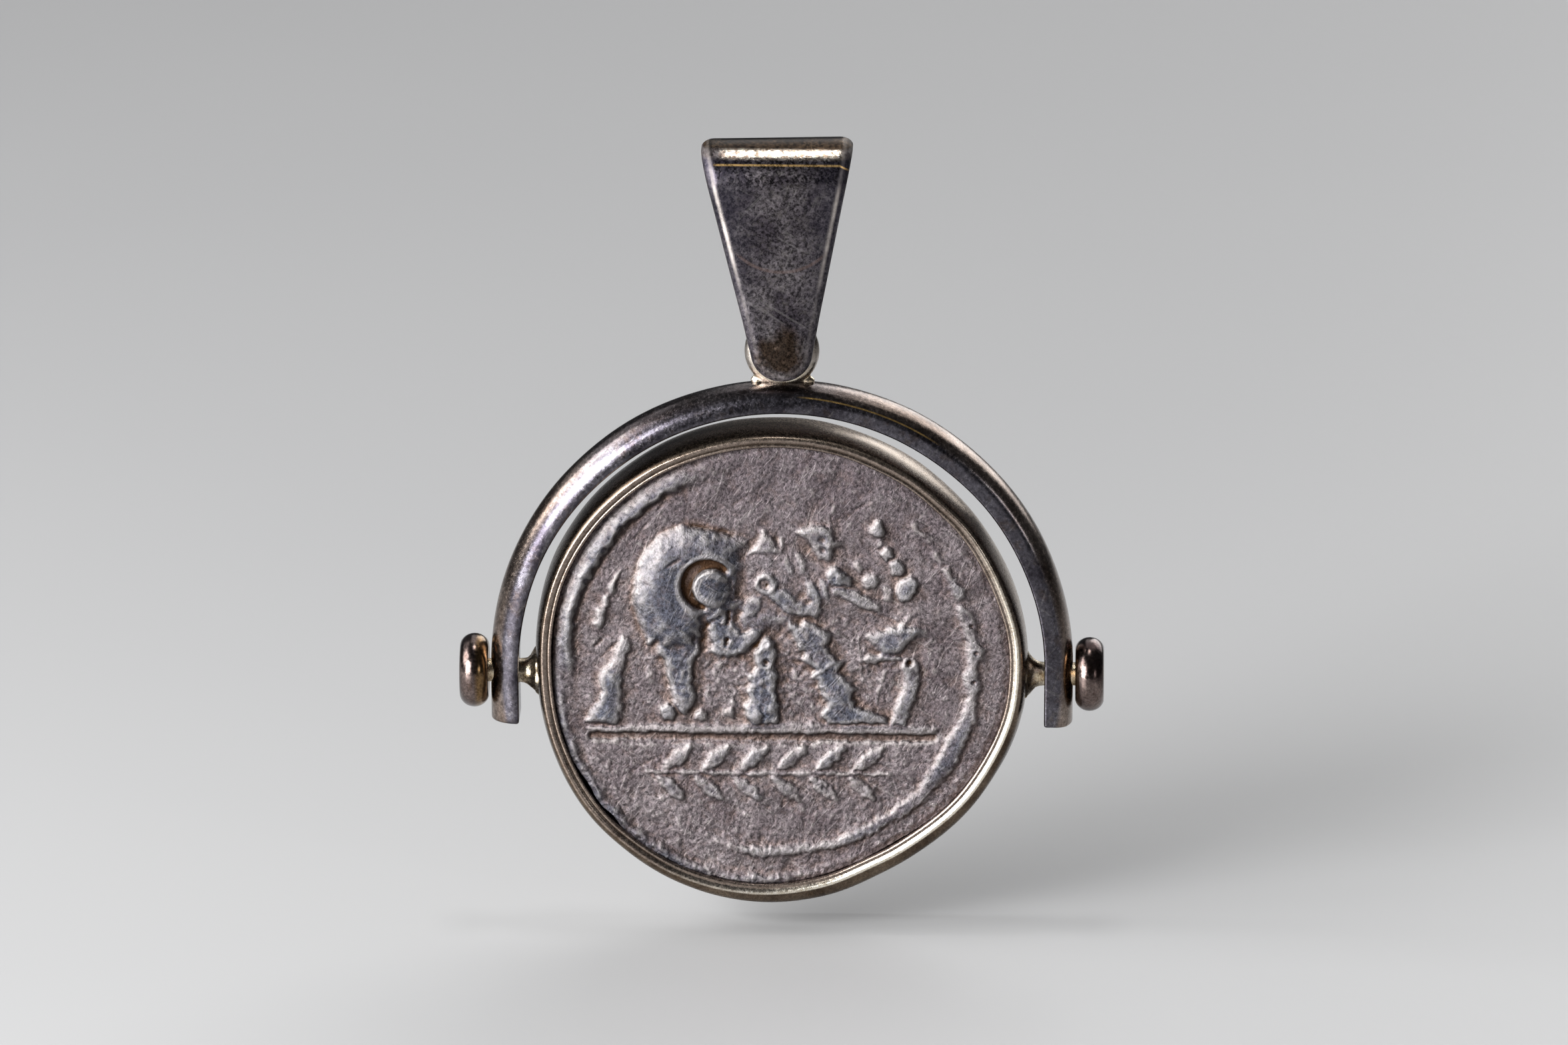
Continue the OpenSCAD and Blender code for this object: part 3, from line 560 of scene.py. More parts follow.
speckle = stretch(tree, skin["Grain"], 0.33, 0.67, 0.08, 0.90)
colour = blend(tree, 0.9, colour, speckle, "OVERLAY")
# Painted shade on the slopes turned away from the lamp, then painted highlight on the slopes turned toward
# it.
colour = blend(tree, painted_shade, colour, (0.030, 0.022, 0.020, 1))
colour = blend(tree, painted_highlight, colour, (0.37, 0.34, 0.33, 1))
colour = blend(tree, deep_hollow, colour, (0.04, 0.02, 0.010, 1))
# Painted highlight lines along the ridges of the relief.
colour = tint(tree, colour, ridge_highlight, 0.17, (0.62, 0.58, 0.55, 1))
colour = tint(tree, colour, skin["Hairlines"], 0.14, (0.40, 0.37, 0.36, 1))
rough = stretch(tree, skin["Grain"], 0.3, 0.7, 0.30, 0.46)
shader, grain_bump = finish_silver(tree, skin, colour, rough, 0.8, 0.06)
shader.inputs["Metallic"].default_value = 0.92
line_bump = add(tree, "ShaderNodeBump", {"Height": skin["Hairlines"], "Normal": grain_bump,
    "Strength": 0.3, "Distance": 0.02 * MM})
tree.links.new(line_bump.outputs[0], shader.inputs["Normal"])
coin.data.materials.append(struck)

# Bezel
# A band of burnished silver sheet that bulges out between its two rims and is closed down over the
# coin's edge. A turned post is soldered on at each side, in a golden puddle drawn up round its foot.
band_half = 1.6
band_bulge = 0.35
belly_deep = 0.34
belly_at = 290
belly_wide = 60


def settled(name):
    """The piece just made, named, with its place and turn put into its mesh."""
    piece = bpy.context.object
    piece.name = name
    bpy.ops.object.transform_apply(location=True, rotation=True, scale=False)
    return piece


# Section of the band's front half: how far out from the rim and how far forward, in mm.
half_section = [(-0.16, 0.0), (-0.16, 0.8), (-0.16, 1.3), (-0.185, 1.45), (-0.17, 1.53), (-0.12, 1.575),
    (-0.07, 1.575), (-0.025, 1.535), (0.03, 1.565), (0.09, 1.63), (0.16, 1.65), (0.23, 1.62), (0.29, 1.54),
    (0.33, 1.42), (0.38, 1.2), (0.43, 0.9), (0.47, 0.55), (0.495, 0.2)]
section = [(out, -y) for out, y in half_section] + [(out, y) for out, y in half_section[:0:-1]]
bpy.ops.mesh.primitive_circle_add(vertices=len(section), radius=MM, location=(post_x, 0, post_z))
band = settled("bezel_band")
for point, (out, y) in zip(band.data.vertices, section):
    point.co = (post_x + (coin_r + out) * MM, y * MM, post_z)
edit()
bpy.ops.mesh.spin(steps=300, angle=2 * math.pi, center=(post_x, 0, post_z), axis=(0, 1, 0))
bpy.ops.mesh.select_all(action="SELECT")
bpy.ops.mesh.remove_doubles(threshold=0.002 * MM)
face_outward()
# The band follows the coin's outline and bellies out further below it.
across = []
for point in band.data.vertices:
    x, y, z = (point.co.x - post_x) / MM, point.co.y / MM, (point.co.z - post_z) / MM
    angle = math.atan2(z, x)
    out = math.hypot(x, z) - coin_r
    across.append((out + 0.18) / 0.42 if abs(y) > 1.5 else 1 + (1.5 - abs(y)) / 1.5 if out > 0 else 0)
    from_low = (math.degrees(angle) - belly_at + 180) % 360 - 180
    outer = float(smooth(np.array((out - 0.22) / 0.14)))
    belly = belly_deep * math.exp(-((from_low / belly_wide) ** 2)) * outer
    wobble = noise.noise(Vector((math.cos(angle) * 4.5, y * 0.5, math.sin(angle) * 4.5)))
    r = float(rim_radius(math.degrees(angle))) + out + belly + 0.04 * wobble
    sway = noise.noise(Vector((math.cos(angle) * 3.1, 7.0, math.sin(angle) * 3.1)))
    y += 0.04 * sway * (y / band_half) ** 2
    point.co = (post_x + r * math.cos(angle) * MM, y * MM, post_z + r * math.sin(angle) * MM)
band.data.attributes.new("across", "FLOAT", "POINT").data.foreach_set("value", across)
bpy.ops.object.shade_smooth()


def turned(name, stations, side, vertices=48, closed=False):
    """A piece turned about the posts' axis: rings at (x, radius) in mm from the middle outwards."""
    x0, r0 = stations[0]
    bpy.ops.mesh.primitive_circle_add(vertices=vertices, radius=r0 * MM, rotation=(0, math.radians(90), 0),
        location=(post_x + side * x0 * MM, 0, post_z))
    piece = settled(name)
    edit()
    for (x_from, r_from), (x_to, r_to) in zip(stations, stations[1:]):
        step = side * (x_to - x_from) * MM
        bpy.ops.mesh.extrude_region_move(TRANSFORM_OT_translate={"value": (step, 0, 0)})
        scale = r_to / r_from
        middle = (post_x + side * x_to * MM, 0, post_z)
        bpy.ops.transform.resize(value=(1, scale, scale), center_override=middle)
    bpy.ops.mesh.select_all(action="SELECT")
    bpy.ops.mesh.remove_doubles(threshold=0.001 * MM)
    if not closed:
        bpy.ops.mesh.select_all(action="DESELECT")
        bpy.ops.mesh.select_mode(type="EDGE")
        bpy.ops.mesh.select_non_manifold()
        bpy.ops.mesh.fill_holes(sides=0)
    face_outward()
    bpy.ops.object.shade_smooth_by_angle(angle=math.radians(40))
    return piece


post_end = 13.0525
posts = []
for side, label, root in ((1, "right", float(rim_radius(0))), (-1, "left", float(rim_radius(180)))):
    foot = root + band_bulge
    stations = [(foot, 1.02), (foot + 0.16, 0.93), (foot + 0.22, 0.84), (foot + 0.30, 0.74),
        (foot + 0.40, 0.64), (foot + 0.52, 0.56), (foot + 0.66, 0.505), (foot + 0.85, 0.48), (11.2, 0.475),
        (post_end - 0.12, 0.475), (post_end - 0.03, 0.44), (post_end, 0.36)]
    post = turned("post_" + label, stations, side, 56)
    for point in post.data.vertices:
        x = abs(point.co.x - post_x) / MM - foot
        if x < 0.8:
            lumpy = noise.noise(point.co * 2300 + Vector((side, 0, 3)))
            swell = 1 + 0.32 * lumpy * smooth(np.array(1 - abs(x - 0.3) / 0.5))
            point.co.y *= swell
            point.co.z = post_z + (point.co.z - post_z) * swell
    posts.append(post)
for piece in [band] + posts:
    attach(piece, "flip_frame")
    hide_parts("bezel")

burnished, tree, place, skin = new_silver("burnished_silver", 2.2, 0.12)
# 0 at the inner edge of the rim, 1 at its outer corner and 2 at the middle of the band.
across = attribute(tree, "across")
side_share = stretch(tree, across, 0.90, 0.99)
band_colour = blend(tree, skin["Patches"], (0.060, 0.042, 0.030, 1), (0.16, 0.122, 0.090, 1))
spot_share = maths(tree, "MULTIPLY", skin["Spots"], 0.6)
band_colour = blend(tree, spot_share, band_colour, (0.09, 0.058, 0.035, 1))
# A painted sheen: the band is painted lighter tan toward the upper right, where the lamp behind on the
# right reflects in it.
up_right = add(tree, "ShaderNodeVectorMath", {0: place, 1: (0.60, 0.0, 0.80)},
    operation="DOT_PRODUCT").outputs["Value"]
middle_at = 0.60 * post_x + 0.80 * post_z
upper_right_sheen = stretch(tree, up_right, middle_at + 4.0 * MM, middle_at + 8.5 * MM, 0.0, 0.8)
sheen_colour = blend(tree, spot_share, (0.40, 0.32, 0.25, 1), (0.16, 0.11, 0.08, 1))
band_colour = blend(tree, upper_right_sheen, band_colour, sheen_colour)
# The rim is painted near white toward the lower right: partly worn bright, partly a painted highlight where
# the left lamp glints on it.
low_right = add(tree, "ShaderNodeVectorMath", {0: place, 1: (0.75, 0.0, -0.66)},
    operation="DOT_PRODUCT").outputs["Value"]
middle_at = 0.75 * post_x - 0.66 * post_z
rubbed = stretch(tree, low_right, middle_at + 1.0 * MM, middle_at + 7.5 * MM)
worn_rim = blend(tree, spot_share, (0.27, 0.215, 0.18, 1), (0.11, 0.075, 0.055, 1))
rim_sheen_colour = blend(tree, spot_share, (0.92, 0.85, 0.72, 1), (0.45, 0.36, 0.25, 1))
rim_sheen_share = maths(tree, "MULTIPLY", rubbed, stretch(tree, across, 0.35, 0.72))
rim_colour = blend(tree, rim_sheen_share, worn_rim, rim_sheen_colour)
# A dark line painted along the middle of the rim on the left: painted shade between the rim's two
# highlights.
line_in = maths(tree, "MULTIPLY", stretch(tree, across, 0.28, 0.35), stretch(tree, across, 0.51, 0.44))
painted_shade_line = maths(tree, "MULTIPLY", line_in, stretch(tree, rubbed, 0.0, 0.3, 0.85, 0.0))
rim_colour = blend(tree, painted_shade_line, rim_colour, (0.045, 0.030, 0.020, 1))
colour = blend(tree, side_share, rim_colour, band_colour)
speckle = stretch(tree, skin["Grain"], 0.3, 0.7, 0.2, 0.8)
colour = blend(tree, 0.7, colour, speckle, "OVERLAY")
finish_silver(tree, skin, colour, stretch(tree, skin["Grain"], 0.3, 0.7, 0.18, 0.34), 0.25, 0.02)
band.data.materials.append(burnished)

soldered, tree, _, skin = new_silver("golden_solder", 0.6, 0.10)
colour = blend(tree, skin["Patches"], (0.50, 0.36, 0.20, 1), (0.86, 0.77, 0.60, 1))
colour = tint(tree, colour, skin["Spots"], 0.8, (0.14, 0.085, 0.04, 1))
finish_silver(tree, skin, colour, stretch(tree, skin["Grain"], 0.3, 0.7, 0.12, 0.32), 0.5, 0.03)
for post in posts:
    post.data.materials.append(soldered)

# Yoke
# A half-round silver bar bent into a U over the bezel, flat at the front and inside and crowned
# outside. The posts turn in holes through its arms, and a wire ring is soldered on top.
yoke_inner = 10.6525
yoke_outer = 11.8025
yoke_half = 1.1
round_from = 10.70
post_hole_r = 0.525
arch_rise = 0.4
arm_drop = 2.0
crown_r = 1.82
corner_r = 0.56
crown_mid = yoke_outer - crown_r
corner_y = yoke_half - corner_r
corner_x = crown_mid + math.sqrt((crown_r - corner_r) ** 2 - corner_y ** 2)
meet = math.atan2(corner_y, corner_x - crown_mid)
face_rows = (10.8, 10.95, 11.1)
section = [(face_rows[1], -yoke_half), (face_rows[0], -yoke_half), (yoke_inner, -yoke_half)]
section += [(yoke_inner, yoke_half)] + [(r, yoke_half) for r in face_rows]
for i in range(7):
    a = math.pi / 2 + (meet - math.pi / 2) * i / 6
    section.append((corner_x + corner_r * math.cos(a), corner_y + corner_r * math.sin(a)))
for i in range(1, 8):
    a = meet * (1 - 2 * i / 8)
    section.append((crown_mid + crown_r * math.cos(a), crown_r * math.sin(a)))
for i in range(7):
    a = -meet - (math.pi / 2 - meet) * i / 6
    section.append((corner_x + corner_r * math.cos(a), -corner_y + corner_r * math.sin(a)))
section.append((face_rows[2], -yoke_half))
bpy.ops.mesh.primitive_circle_add(vertices=len(section), radius=MM, location=(post_x, 0, post_z))
yoke = settled("yoke_bar")
for point, (r, y) in zip(yoke.data.vertices, section):
    point.co = (post_x + r * MM, y * MM, post_z - arm_drop * MM)
edit()
bpy.ops.mesh.select_mode(type="EDGE")
for rise in (0.3, 0.6, 0.6, 0.5, arch_rise):
    bpy.ops.mesh.extrude_region_move(TRANSFORM_OT_translate={"value": (0, 0, rise * MM)})
bpy.ops.mesh.spin(steps=96, angle=math.pi, center=(post_x, 0, post_z + arch_rise * MM), axis=(0, 1, 0))
for rise in (arch_rise, 0.5, 0.6, 0.6, 0.3):
    bpy.ops.mesh.extrude_region_move(TRANSFORM_OT_translate={"value": (0, 0, -rise * MM)})
bpy.ops.mesh.select_all(action="SELECT")
bpy.ops.mesh.remove_doubles(threshold=0.001 * MM)
bpy.ops.mesh.select_all(action="DESELECT")
bpy.ops.mesh.select_non_manifold()
bpy.ops.mesh.fill_holes(sides=0)
face_outward()
# On the left the bar keeps the full round of the wire; on the right its front is filed flat.
for point in yoke.data.vertices:
    x, z = (point.co.x - post_x) / MM, (point.co.z - post_z) / MM - arch_rise
    out = math.hypot(x, z) if z > 0 else abs(x)
    round_share = float(smooth(np.array((0.42 - (x / out if z > 0 else math.copysign(1, x))) / 0.8)))
    if out > yoke_inner + 0.02:
        y_round = math.sqrt(max(0.0, yoke_half ** 2 - max(0.0, out - round_from) ** 2))
        y = abs(point.co.y) / MM
        point.co.y = math.copysign(y + round_share * (min(y_round, y + 0.3) - y), point.co.y) * MM


def modify(piece, kind, **settings):
    """Gives the active piece a modifier and applies it."""
    bpy.ops.object.modifier_add(type=kind)
    made = piece.modifiers[-1]
    for name, value in settings.items():
        setattr(made, name, value)
    bpy.ops.object.modifier_apply(modifier=made.name)


modify(yoke, "BEVEL", width=0.10 * MM, segments=3, limit_method="ANGLE", angle_limit=math.radians(40))
# Slight unevenness of the hand-filed bar.
for point in yoke.data.vertices:
    at = Vector((point.co.x * 320, point.co.y * 320, point.co.z * 320))
    point.co.y += 0.035 * MM * noise.noise(at)
    point.co.x += 0.025 * MM * noise.noise(at + Vector((9, 0, 0)))
    point.co.z += 0.025 * MM * noise.noise(at + Vector((0, 9, 0)))
bpy.ops.mesh.primitive_cylinder_add(vertices=48, radius=post_hole_r * MM, depth=26 * MM,
    rotation=(0, math.radians(90), 0), location=(post_x, 0, post_z))
drill = settled("drill")
bpy.context.view_layer.objects.active = yoke
modify(yoke, "BOOLEAN", operation="DIFFERENCE", object=drill)
bpy.data.objects.remove(drill)
yoke.select_set(True)
bpy.ops.object.shade_smooth_by_angle(angle=math.radians(35))

# The ring and the solder that runs out from its foot, melted into one.
ring_z = 13.4525
ring_r = 1.14
wire_r = 0.38
bpy.ops.mesh.primitive_torus_add(major_radius=ring_r * MM, minor_radius=wire_r * MM, major_segments=96,
    minor_segments=32, rotation=(math.radians(90), 0, 0), location=(post_x, 0, post_z + ring_z * MM))
ring = settled("top_ring")
# The drops of solder: middle as x and z, and half sizes.
drops = [(-0.62, 12.35, 0.42, 0.30, 0.34), (0.62, 12.33, 0.42, 0.30, 0.34), (-0.98, 12.22, 0.3, 0.24, 0.2),
    (1.02, 12.2, 0.32, 0.24, 0.2), (0, 12.2, 0.75, 0.34, 0.2), (-0.78, 12.5, 0.16, 0.16, 0.2),
    (0.8, 12.48, 0.17, 0.16, 0.18)]
for x, z, half_x, half_y, half_z in drops:
    bpy.ops.mesh.primitive_uv_sphere_add(segments=24, ring_count=12, radius=1,
        location=(post_x + x * MM, 0, post_z + z * MM), scale=(half_x * MM, half_y * MM, half_z * MM))
    bpy.ops.object.transform_apply(location=True, rotation=True, scale=True)
    bpy.context.object.select_set(True)
    ring.select_set(True)
    bpy.context.view_layer.objects.active = ring
    bpy.ops.object.join()
modify(ring, "REMESH", mode="VOXEL", voxel_size=0.045 * MM)
modify(ring, "SMOOTH", iterations=8)
bpy.ops.object.shade_smooth()
for piece in (yoke, ring):
    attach(piece, "yoke")
    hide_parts("yoke")

# Blue-grey in front and inside, browner on the crowned outside, golden round the ring's foot.
bar_silver, tree, place, skin = new_silver("tarnished_bar_silver", 2.4, 0.14)
radial = distance_from(tree, place, post_z + arch_rise * MM)
outside = stretch(tree, radial, 11.30 * MM, 11.52 * MM)
front_colour = blend(tree, skin["Patches"], (0.036, 0.032, 0.040, 1), (0.110, 0.104, 0.120, 1))
side_colour = blend(tree, skin["Patches"], (0.13, 0.096, 0.078, 1), (0.27, 0.220, 0.190, 1))
place_x, place_y, _ = add(tree, "ShaderNodeSeparateXYZ", {0: place}).outputs
brown_right = stretch(tree, place_x, post_x + 0.5 * MM, post_x + 4.0 * MM, 0.25, 1.0)
brown_left = stretch(tree, place_x, post_x - 7.5 * MM, post_x - 9.5 * MM, 0.25, 1.0)
brown_share = maths(tree, "MAXIMUM", brown_right, brown_left)
outside = maths(tree, "MULTIPLY", outside, brown_share)
colour = blend(tree, outside, front_colour, side_colour)
colour = tint(tree, colour, skin["Spots"], 0.5, (0.07, 0.05, 0.04, 1))
# A fine golden line along the front, right of the ring.
line_away = maths(tree, "ABSOLUTE", maths(tree, "SUBTRACT", radial, 11.37 * MM))
line_on = maths(tree, "MULTIPLY", stretch(tree, line_away, 0.04 * MM, 0.015 * MM),
    stretch(tree, place_y, -0.3 * MM, -0.5 * MM))
line_run = maths(tree, "MULTIPLY", stretch(tree, place_x, post_x + 0.6 * MM, post_x + 1.2 * MM),
    stretch(tree, place_x, post_x + 6.4 * MM, post_x + 5.6 * MM))
line_on = maths(tree, "MULTIPLY", line_on, line_run)
colour = tint(tree, colour, skin["Hairlines"], 0.1, (0.4, 0.38, 0.36, 1))
speckle = stretch(tree, skin["Grain"], 0.3, 0.7, 0.12, 0.88)
colour = blend(tree, 0.8, colour, speckle, "OVERLAY")
colour = blend(tree, line_on, colour, (0.85, 0.55, 0.20, 1))
finish_silver(tree, skin, colour, stretch(tree, skin["Grain"], 0.3, 0.7, 0.16, 0.30), 0.2, 0.02)
yoke.data.materials.append(bar_silver)

ring_silver, tree, place, skin = new_silver("ring_silver", 0.9, 0.10)
place_z = add(tree, "ShaderNodeSeparateXYZ", {0: place}).outputs["Z"]
height = stretch(tree, place_z, post_z + 12.35 * MM, post_z + 12.95 * MM)
solder_colour = blend(tree, skin["Patches"], (0.50, 0.37, 0.22, 1), (0.90, 0.82, 0.68, 1))
wire_colour = blend(tree, skin["Patches"], (0.22, 0.19, 0.165, 1), (0.50, 0.46, 0.42, 1))
colour = blend(tree, height, solder_colour, wire_colour)
colour = tint(tree, colour, skin["Spots"], 0.6, (0.09, 0.06, 0.035, 1))
finish_silver(tree, skin, colour, stretch(tree, skin["Grain"], 0.3, 0.7, 0.14, 0.3), 0.4, 0.03)
ring.data.materials.append(ring_silver)

# Knobs
# Two rounded silver washers pressed onto the post ends, which keep the posts in the yoke. Their
# faces are slightly dished round the post.
knob_in = 11.90
knob_t = 1.15
knob_r = 1.5
knob_round = 0.40
stations = [(knob_in + 0.14, 0.50), (knob_in + 0.10, 0.60), (knob_in + 0.04, 0.80), (knob_in, 1.0),
    (knob_in, knob_r - knob_round)]
for i in range(1, 13):
    a = math.pi * i / 12
    middle = knob_in + knob_round + (knob_t - 2 * knob_round) * (i / 12)
    stations.append((middle - knob_round * math.cos(a), knob_r - knob_round + knob_round * math.sin(a)))
stations += [(knob_in + knob_t, 0.98), (knob_in + knob_t - 0.03, 0.8), (knob_in + knob_t - 0.08, 0.62),
    (knob_in + knob_t - 0.11, 0.50), (knob_in + 0.14, 0.50)]
knob_silver, tree, place, skin = new_silver("washer_silver", 1.1, 0.11)
away = maths(tree, "ABSOLUTE", add(tree, "ShaderNodeSeparateXYZ", {0: place}).outputs["X"])
inner_face = stretch(tree, away, 12.27 * MM, 12.10 * MM)
colour = blend(tree, skin["Patches"], (0.060, 0.042, 0.040, 1), (0.17, 0.130, 0.118, 1))
colour = blend(tree, inner_face, colour, (0.17, 0.105, 0.050, 1))
colour = tint(tree, colour, skin["Spots"], 0.55, (0.08, 0.05, 0.035, 1))
speckle = stretch(tree, skin["Grain"], 0.3, 0.7, 0.12, 0.88)
colour = blend(tree, 0.8, colour, speckle, "OVERLAY")
finish_silver(tree, skin, colour, stretch(tree, skin["Grain"], 0.3, 0.7, 0.12, 0.26), 0.2, 0.02)
for side, label in ((1, "right"), (-1, "left")):
    knob = turned("washer_" + label, stations, side, 96, closed=True)
    knob.data.materials.append(knob_silver)
    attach(knob, "flip_frame")
    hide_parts("knob_" + label)

# Bail
# A tapered blank cut from thick sheet with a round tongue at each end, its edges filed round, and
# folded over a rod so that both tongues close on the ring. A pin through the tongues is soldered in.
pin_z = 13.8825
pin_r = 0.3
pin_long = 2.62
sheet = 0.7
edge_r = 0.34
fold_mid = 1.35
fold_up = 6.65
tongue_r = 1.25
tongue_drop = 0.25
top_half = 3.05
lean = math.radians(-1.4)
slope = math.radians(3.47)
tip_z = -tongue_drop - tongue_r
start_y = fold_mid * math.cos(slope)
start_z = fold_up - fold_mid * math.sin(slope)
leg_long = (start_z - tip_z) / math.cos(slope)
arc_long = fold_mid * (math.pi + 2 * slope)
blank_long = 2 * leg_long + arc_long


def fold_place(s):
    """Middle of the folded sheet at that length along the blank, and its outward direction."""
    if s > blank_long / 2:
        y, z, out_y, out_z = fold_place(blank_long - s)
        return -y, z, -out_y, out_z
    if s < leg_long:
        down = leg_long - s
        y, z = -start_y + down * math.sin(slope), start_z - down * math.cos(slope)
        return y, z, -math.cos(slope), -math.sin(slope)
    a = math.pi + slope - (s - leg_long) / fold_mid
    return fold_mid * math.cos(a), fold_up + fold_mid * math.sin(a), math.cos(a), math.sin(a)


def blank_half(z):
    """Half width of the bail at a height above the pin, above its tongue."""
    return tongue_r + (top_half - tongue_r) * min(1, (z + tongue_drop) / (fold_up + 1.25 + tongue_drop))


bpy.ops.mesh.primitive_circle_add(vertices=96, radius=tongue_r * MM, fill_type="NGON",
    rotation=(math.radians(90), 0, 0), location=(0, 0, tongue_r * MM))
bail = settled("bail_strap")
taper = math.radians(12.4)
edit("DESELECT")
bpy.ops.mesh.select_mode(type="VERT")
bpy.ops.object.mode_set(mode="OBJECT")
for point in bail.data.vertices:
    angle = math.atan2(point.co.z - tongue_r * MM, abs(point.co.x))
    point.select = abs(angle) < taper
bpy.ops.object.mode_set(mode="EDIT")
bpy.ops.mesh.dissolve_verts()
bpy.ops.mesh.select_all(action="DESELECT")
bpy.ops.object.mode_set(mode="OBJECT")
for point in bail.data.vertices:
    point.select = point.co.z > tongue_r * MM
bpy.ops.object.mode_set(mode="EDIT")
bpy.ops.transform.translate(value=(0, 0, (blank_long - 2 * tongue_r) * MM))
waist = [leg_long * k / 6 for k in range(2, 7)] + [leg_long + arc_long * k / 10 for k in range(1, 6)]
waist += [blank_long - s for s in waist[-2::-1]]
for s in waist:
    bpy.ops.mesh.select_all(action="SELECT")
    bpy.ops.mesh.bisect(plane_co=(0, 0, s * MM), plane_no=(0, 0, 1))
bpy.ops.object.mode_set(mode="OBJECT")
for point in bail.data.vertices:
    s = point.co.z / MM
    if leg_long * 0.3 < s < blank_long - leg_long * 0.3:
        point.co.x = math.copysign(blank_half(fold_place(s)[1]) * MM, point.co.x)
edit()
bpy.ops.mesh.dissolve_limited(angle_limit=0.0001)
bpy.ops.mesh.select_all(action="SELECT")
bpy.ops.transform.translate(value=(0, -sheet / 2 * MM, 0))
bpy.ops.mesh.extrude_region_move(TRANSFORM_OT_translate={"value": (0, sheet * MM, 0)})
face_outward()
modify(bail, "BEVEL", width=edge_r * MM, segments=6, limit_method="ANGLE", angle_limit=math.radians(60),
    use_clamp_overlap=False)
bpy.ops.object.mode_set(mode="EDIT")
row = 0.45
cuts = [tongue_r * 2 + row * k for k in range(int((leg_long - 2 * tongue_r) / row))]
cuts += [leg_long + arc_long * k / 40 for k in range(21)]
for s in cuts + [blank_long - s for s in cuts[:-1]]:
    bpy.ops.mesh.select_all(action="SELECT")
    bpy.ops.mesh.bisect(plane_co=(0, 0, s * MM), plane_no=(0, 0, 1))
bpy.ops.object.mode_set(mode="OBJECT")
# The rounding is drawn further in over the faces than through the sheet.
edge = []
for point in bail.data.vertices:
    over = min(1, max(0, (abs(point.co.y) / MM - sheet / 2 + edge_r) / edge_r))
    edge.append(1 - over)
    inward = edge_r / 2 * (1 - math.sqrt(1 - over * over)) * MM
    x, s = point.co.x, point.co.z
    end_s = min(max(s, tongue_r * MM), (blank_long - tongue_r) * MM)
    away = math.hypot(x, s - end_s)
    if away > 0.3 * MM:
        point.co.x -= inward * x / away
        point.co.z -= inward * (s - end_s) / away
bail.data.attributes.new("edge", "FLOAT", "POINT").data.foreach_set("value", edge)
for point in bail.data.vertices:
    y, z, out_y, out_z = fold_place(point.co.z / MM)
    off = -point.co.y / MM
    wave = 0.03 * noise.noise(Vector((point.co.x * 450, z * 0.45, 5.0)))
    point.co.y, point.co.z = (y + (off + wave) * out_y) * MM, (z + (off + wave) * out_z) * MM
bpy.ops.object.shade_smooth_by_angle(angle=math.radians(30))

bpy.ops.mesh.primitive_cylinder_add(vertices=40, radius=pin_r * MM, depth=pin_long * MM,
    rotation=(math.radians(90), 0, 0))
pin = settled("bail_pin")
modify(pin, "BEVEL", width=0.06 * MM, segments=3)
bpy.ops.object.shade_smooth_by_angle(angle=math.radians(35))
for piece in (bail, pin):
    bpy.ops.object.select_all(action="DESELECT")
    piece.select_set(True)
    bpy.context.view_layer.objects.active = piece
    piece.rotation_euler = (0, lean, 0)
    piece.location = (post_x, 0, post_z + pin_z * MM)
    bpy.ops.object.transform_apply(location=True, rotation=True, scale=False)
    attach(piece, "bail")
    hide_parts("bail")

dark_silver, tree, place, skin = new_silver("dark_bail_silver", 1.3, 0.15)
colour = blend(tree, skin["Patches"], (0.049, 0.042, 0.050, 1), (0.134, 0.120, 0.128, 1))
speckle = stretch(tree, skin["Grain"], 0.41, 0.66, 0.12, 1.0)
colour = blend(tree, 0.95, colour, speckle, "OVERLAY")
colour = tint(tree, colour, skin["Spots"], 0.35, (0.20, 0.18, 0.17, 1))
colour = tint(tree, colour, skin["Hairlines"], 0.2, (0.35, 0.33, 0.32, 1))
# The fold is painted brighter where the top lamp's highlight falls on it, partly worn bright; it is darker
# brown along its top.
place_x, _, place_z = add(tree, "ShaderNodeSeparateXYZ", {0: place}).outputs
fold_place_z = (pin_z + fold_up) * MM + post_z
worn = stretch(tree, place_z, fold_place_z + 1.08 * MM, fold_place_z + 1.22 * MM)
brown = stretch(tree, place_z, fold_place_z + 1.40 * MM, fold_place_z + 1.50 * MM)
fold_sheen_colour = blend(tree, skin["Spots"], (0.62, 0.54, 0.45, 1), (0.22, 0.15, 0.10, 1))
fold_sheen_colour = blend(tree, 0.6, fold_sheen_colour, speckle, "OVERLAY")
from_middle = maths(tree, "ABSOLUTE", maths(tree, "SUBTRACT", place_x, post_x))
worn = maths(tree, "MULTIPLY", worn, stretch(tree, from_middle, 2.55 * MM, 2.2 * MM, 0.12, 1.0))
# Bluer and darker towards both sides of the face.
colour = blend(tree, stretch(tree, from_middle, 0.7 * MM, 2.1 * MM, 0.0, 0.6), colour,
    (0.030, 0.028, 0.042, 1))
colour = blend(tree, worn, colour, fold_sheen_colour)
brown_colour = blend(tree, skin["Patches"], (0.020, 0.013, 0.009, 1), (0.075, 0.050, 0.032, 1))
brown_colour = blend(tree, 0.95, brown_colour, speckle, "OVERLAY")
colour = blend(tree, brown, colour, brown_colour)
# A fine golden line painted under the fold, a painted reflection, which drops at its right-hand end.
line_drop = stretch(tree, place_x, post_x + 2.35 * MM, post_x + 2.9 * MM, 0.0, 0.3 * MM)
line_height = maths(tree, "ADD", place_z, line_drop)
line_away = maths(tree, "ABSOLUTE", maths(tree, "SUBTRACT", line_height, fold_place_z + 0.93 * MM))
line_ends = stretch(tree, from_middle, 2.75 * MM, 2.5 * MM, 0.0, 0.9)
painted_reflection_line = maths(tree, "MULTIPLY", stretch(tree, line_away, 0.05 * MM, 0.02 * MM), line_ends)
colour = blend(tree, painted_reflection_line, colour, (0.85, 0.55, 0.22, 1))
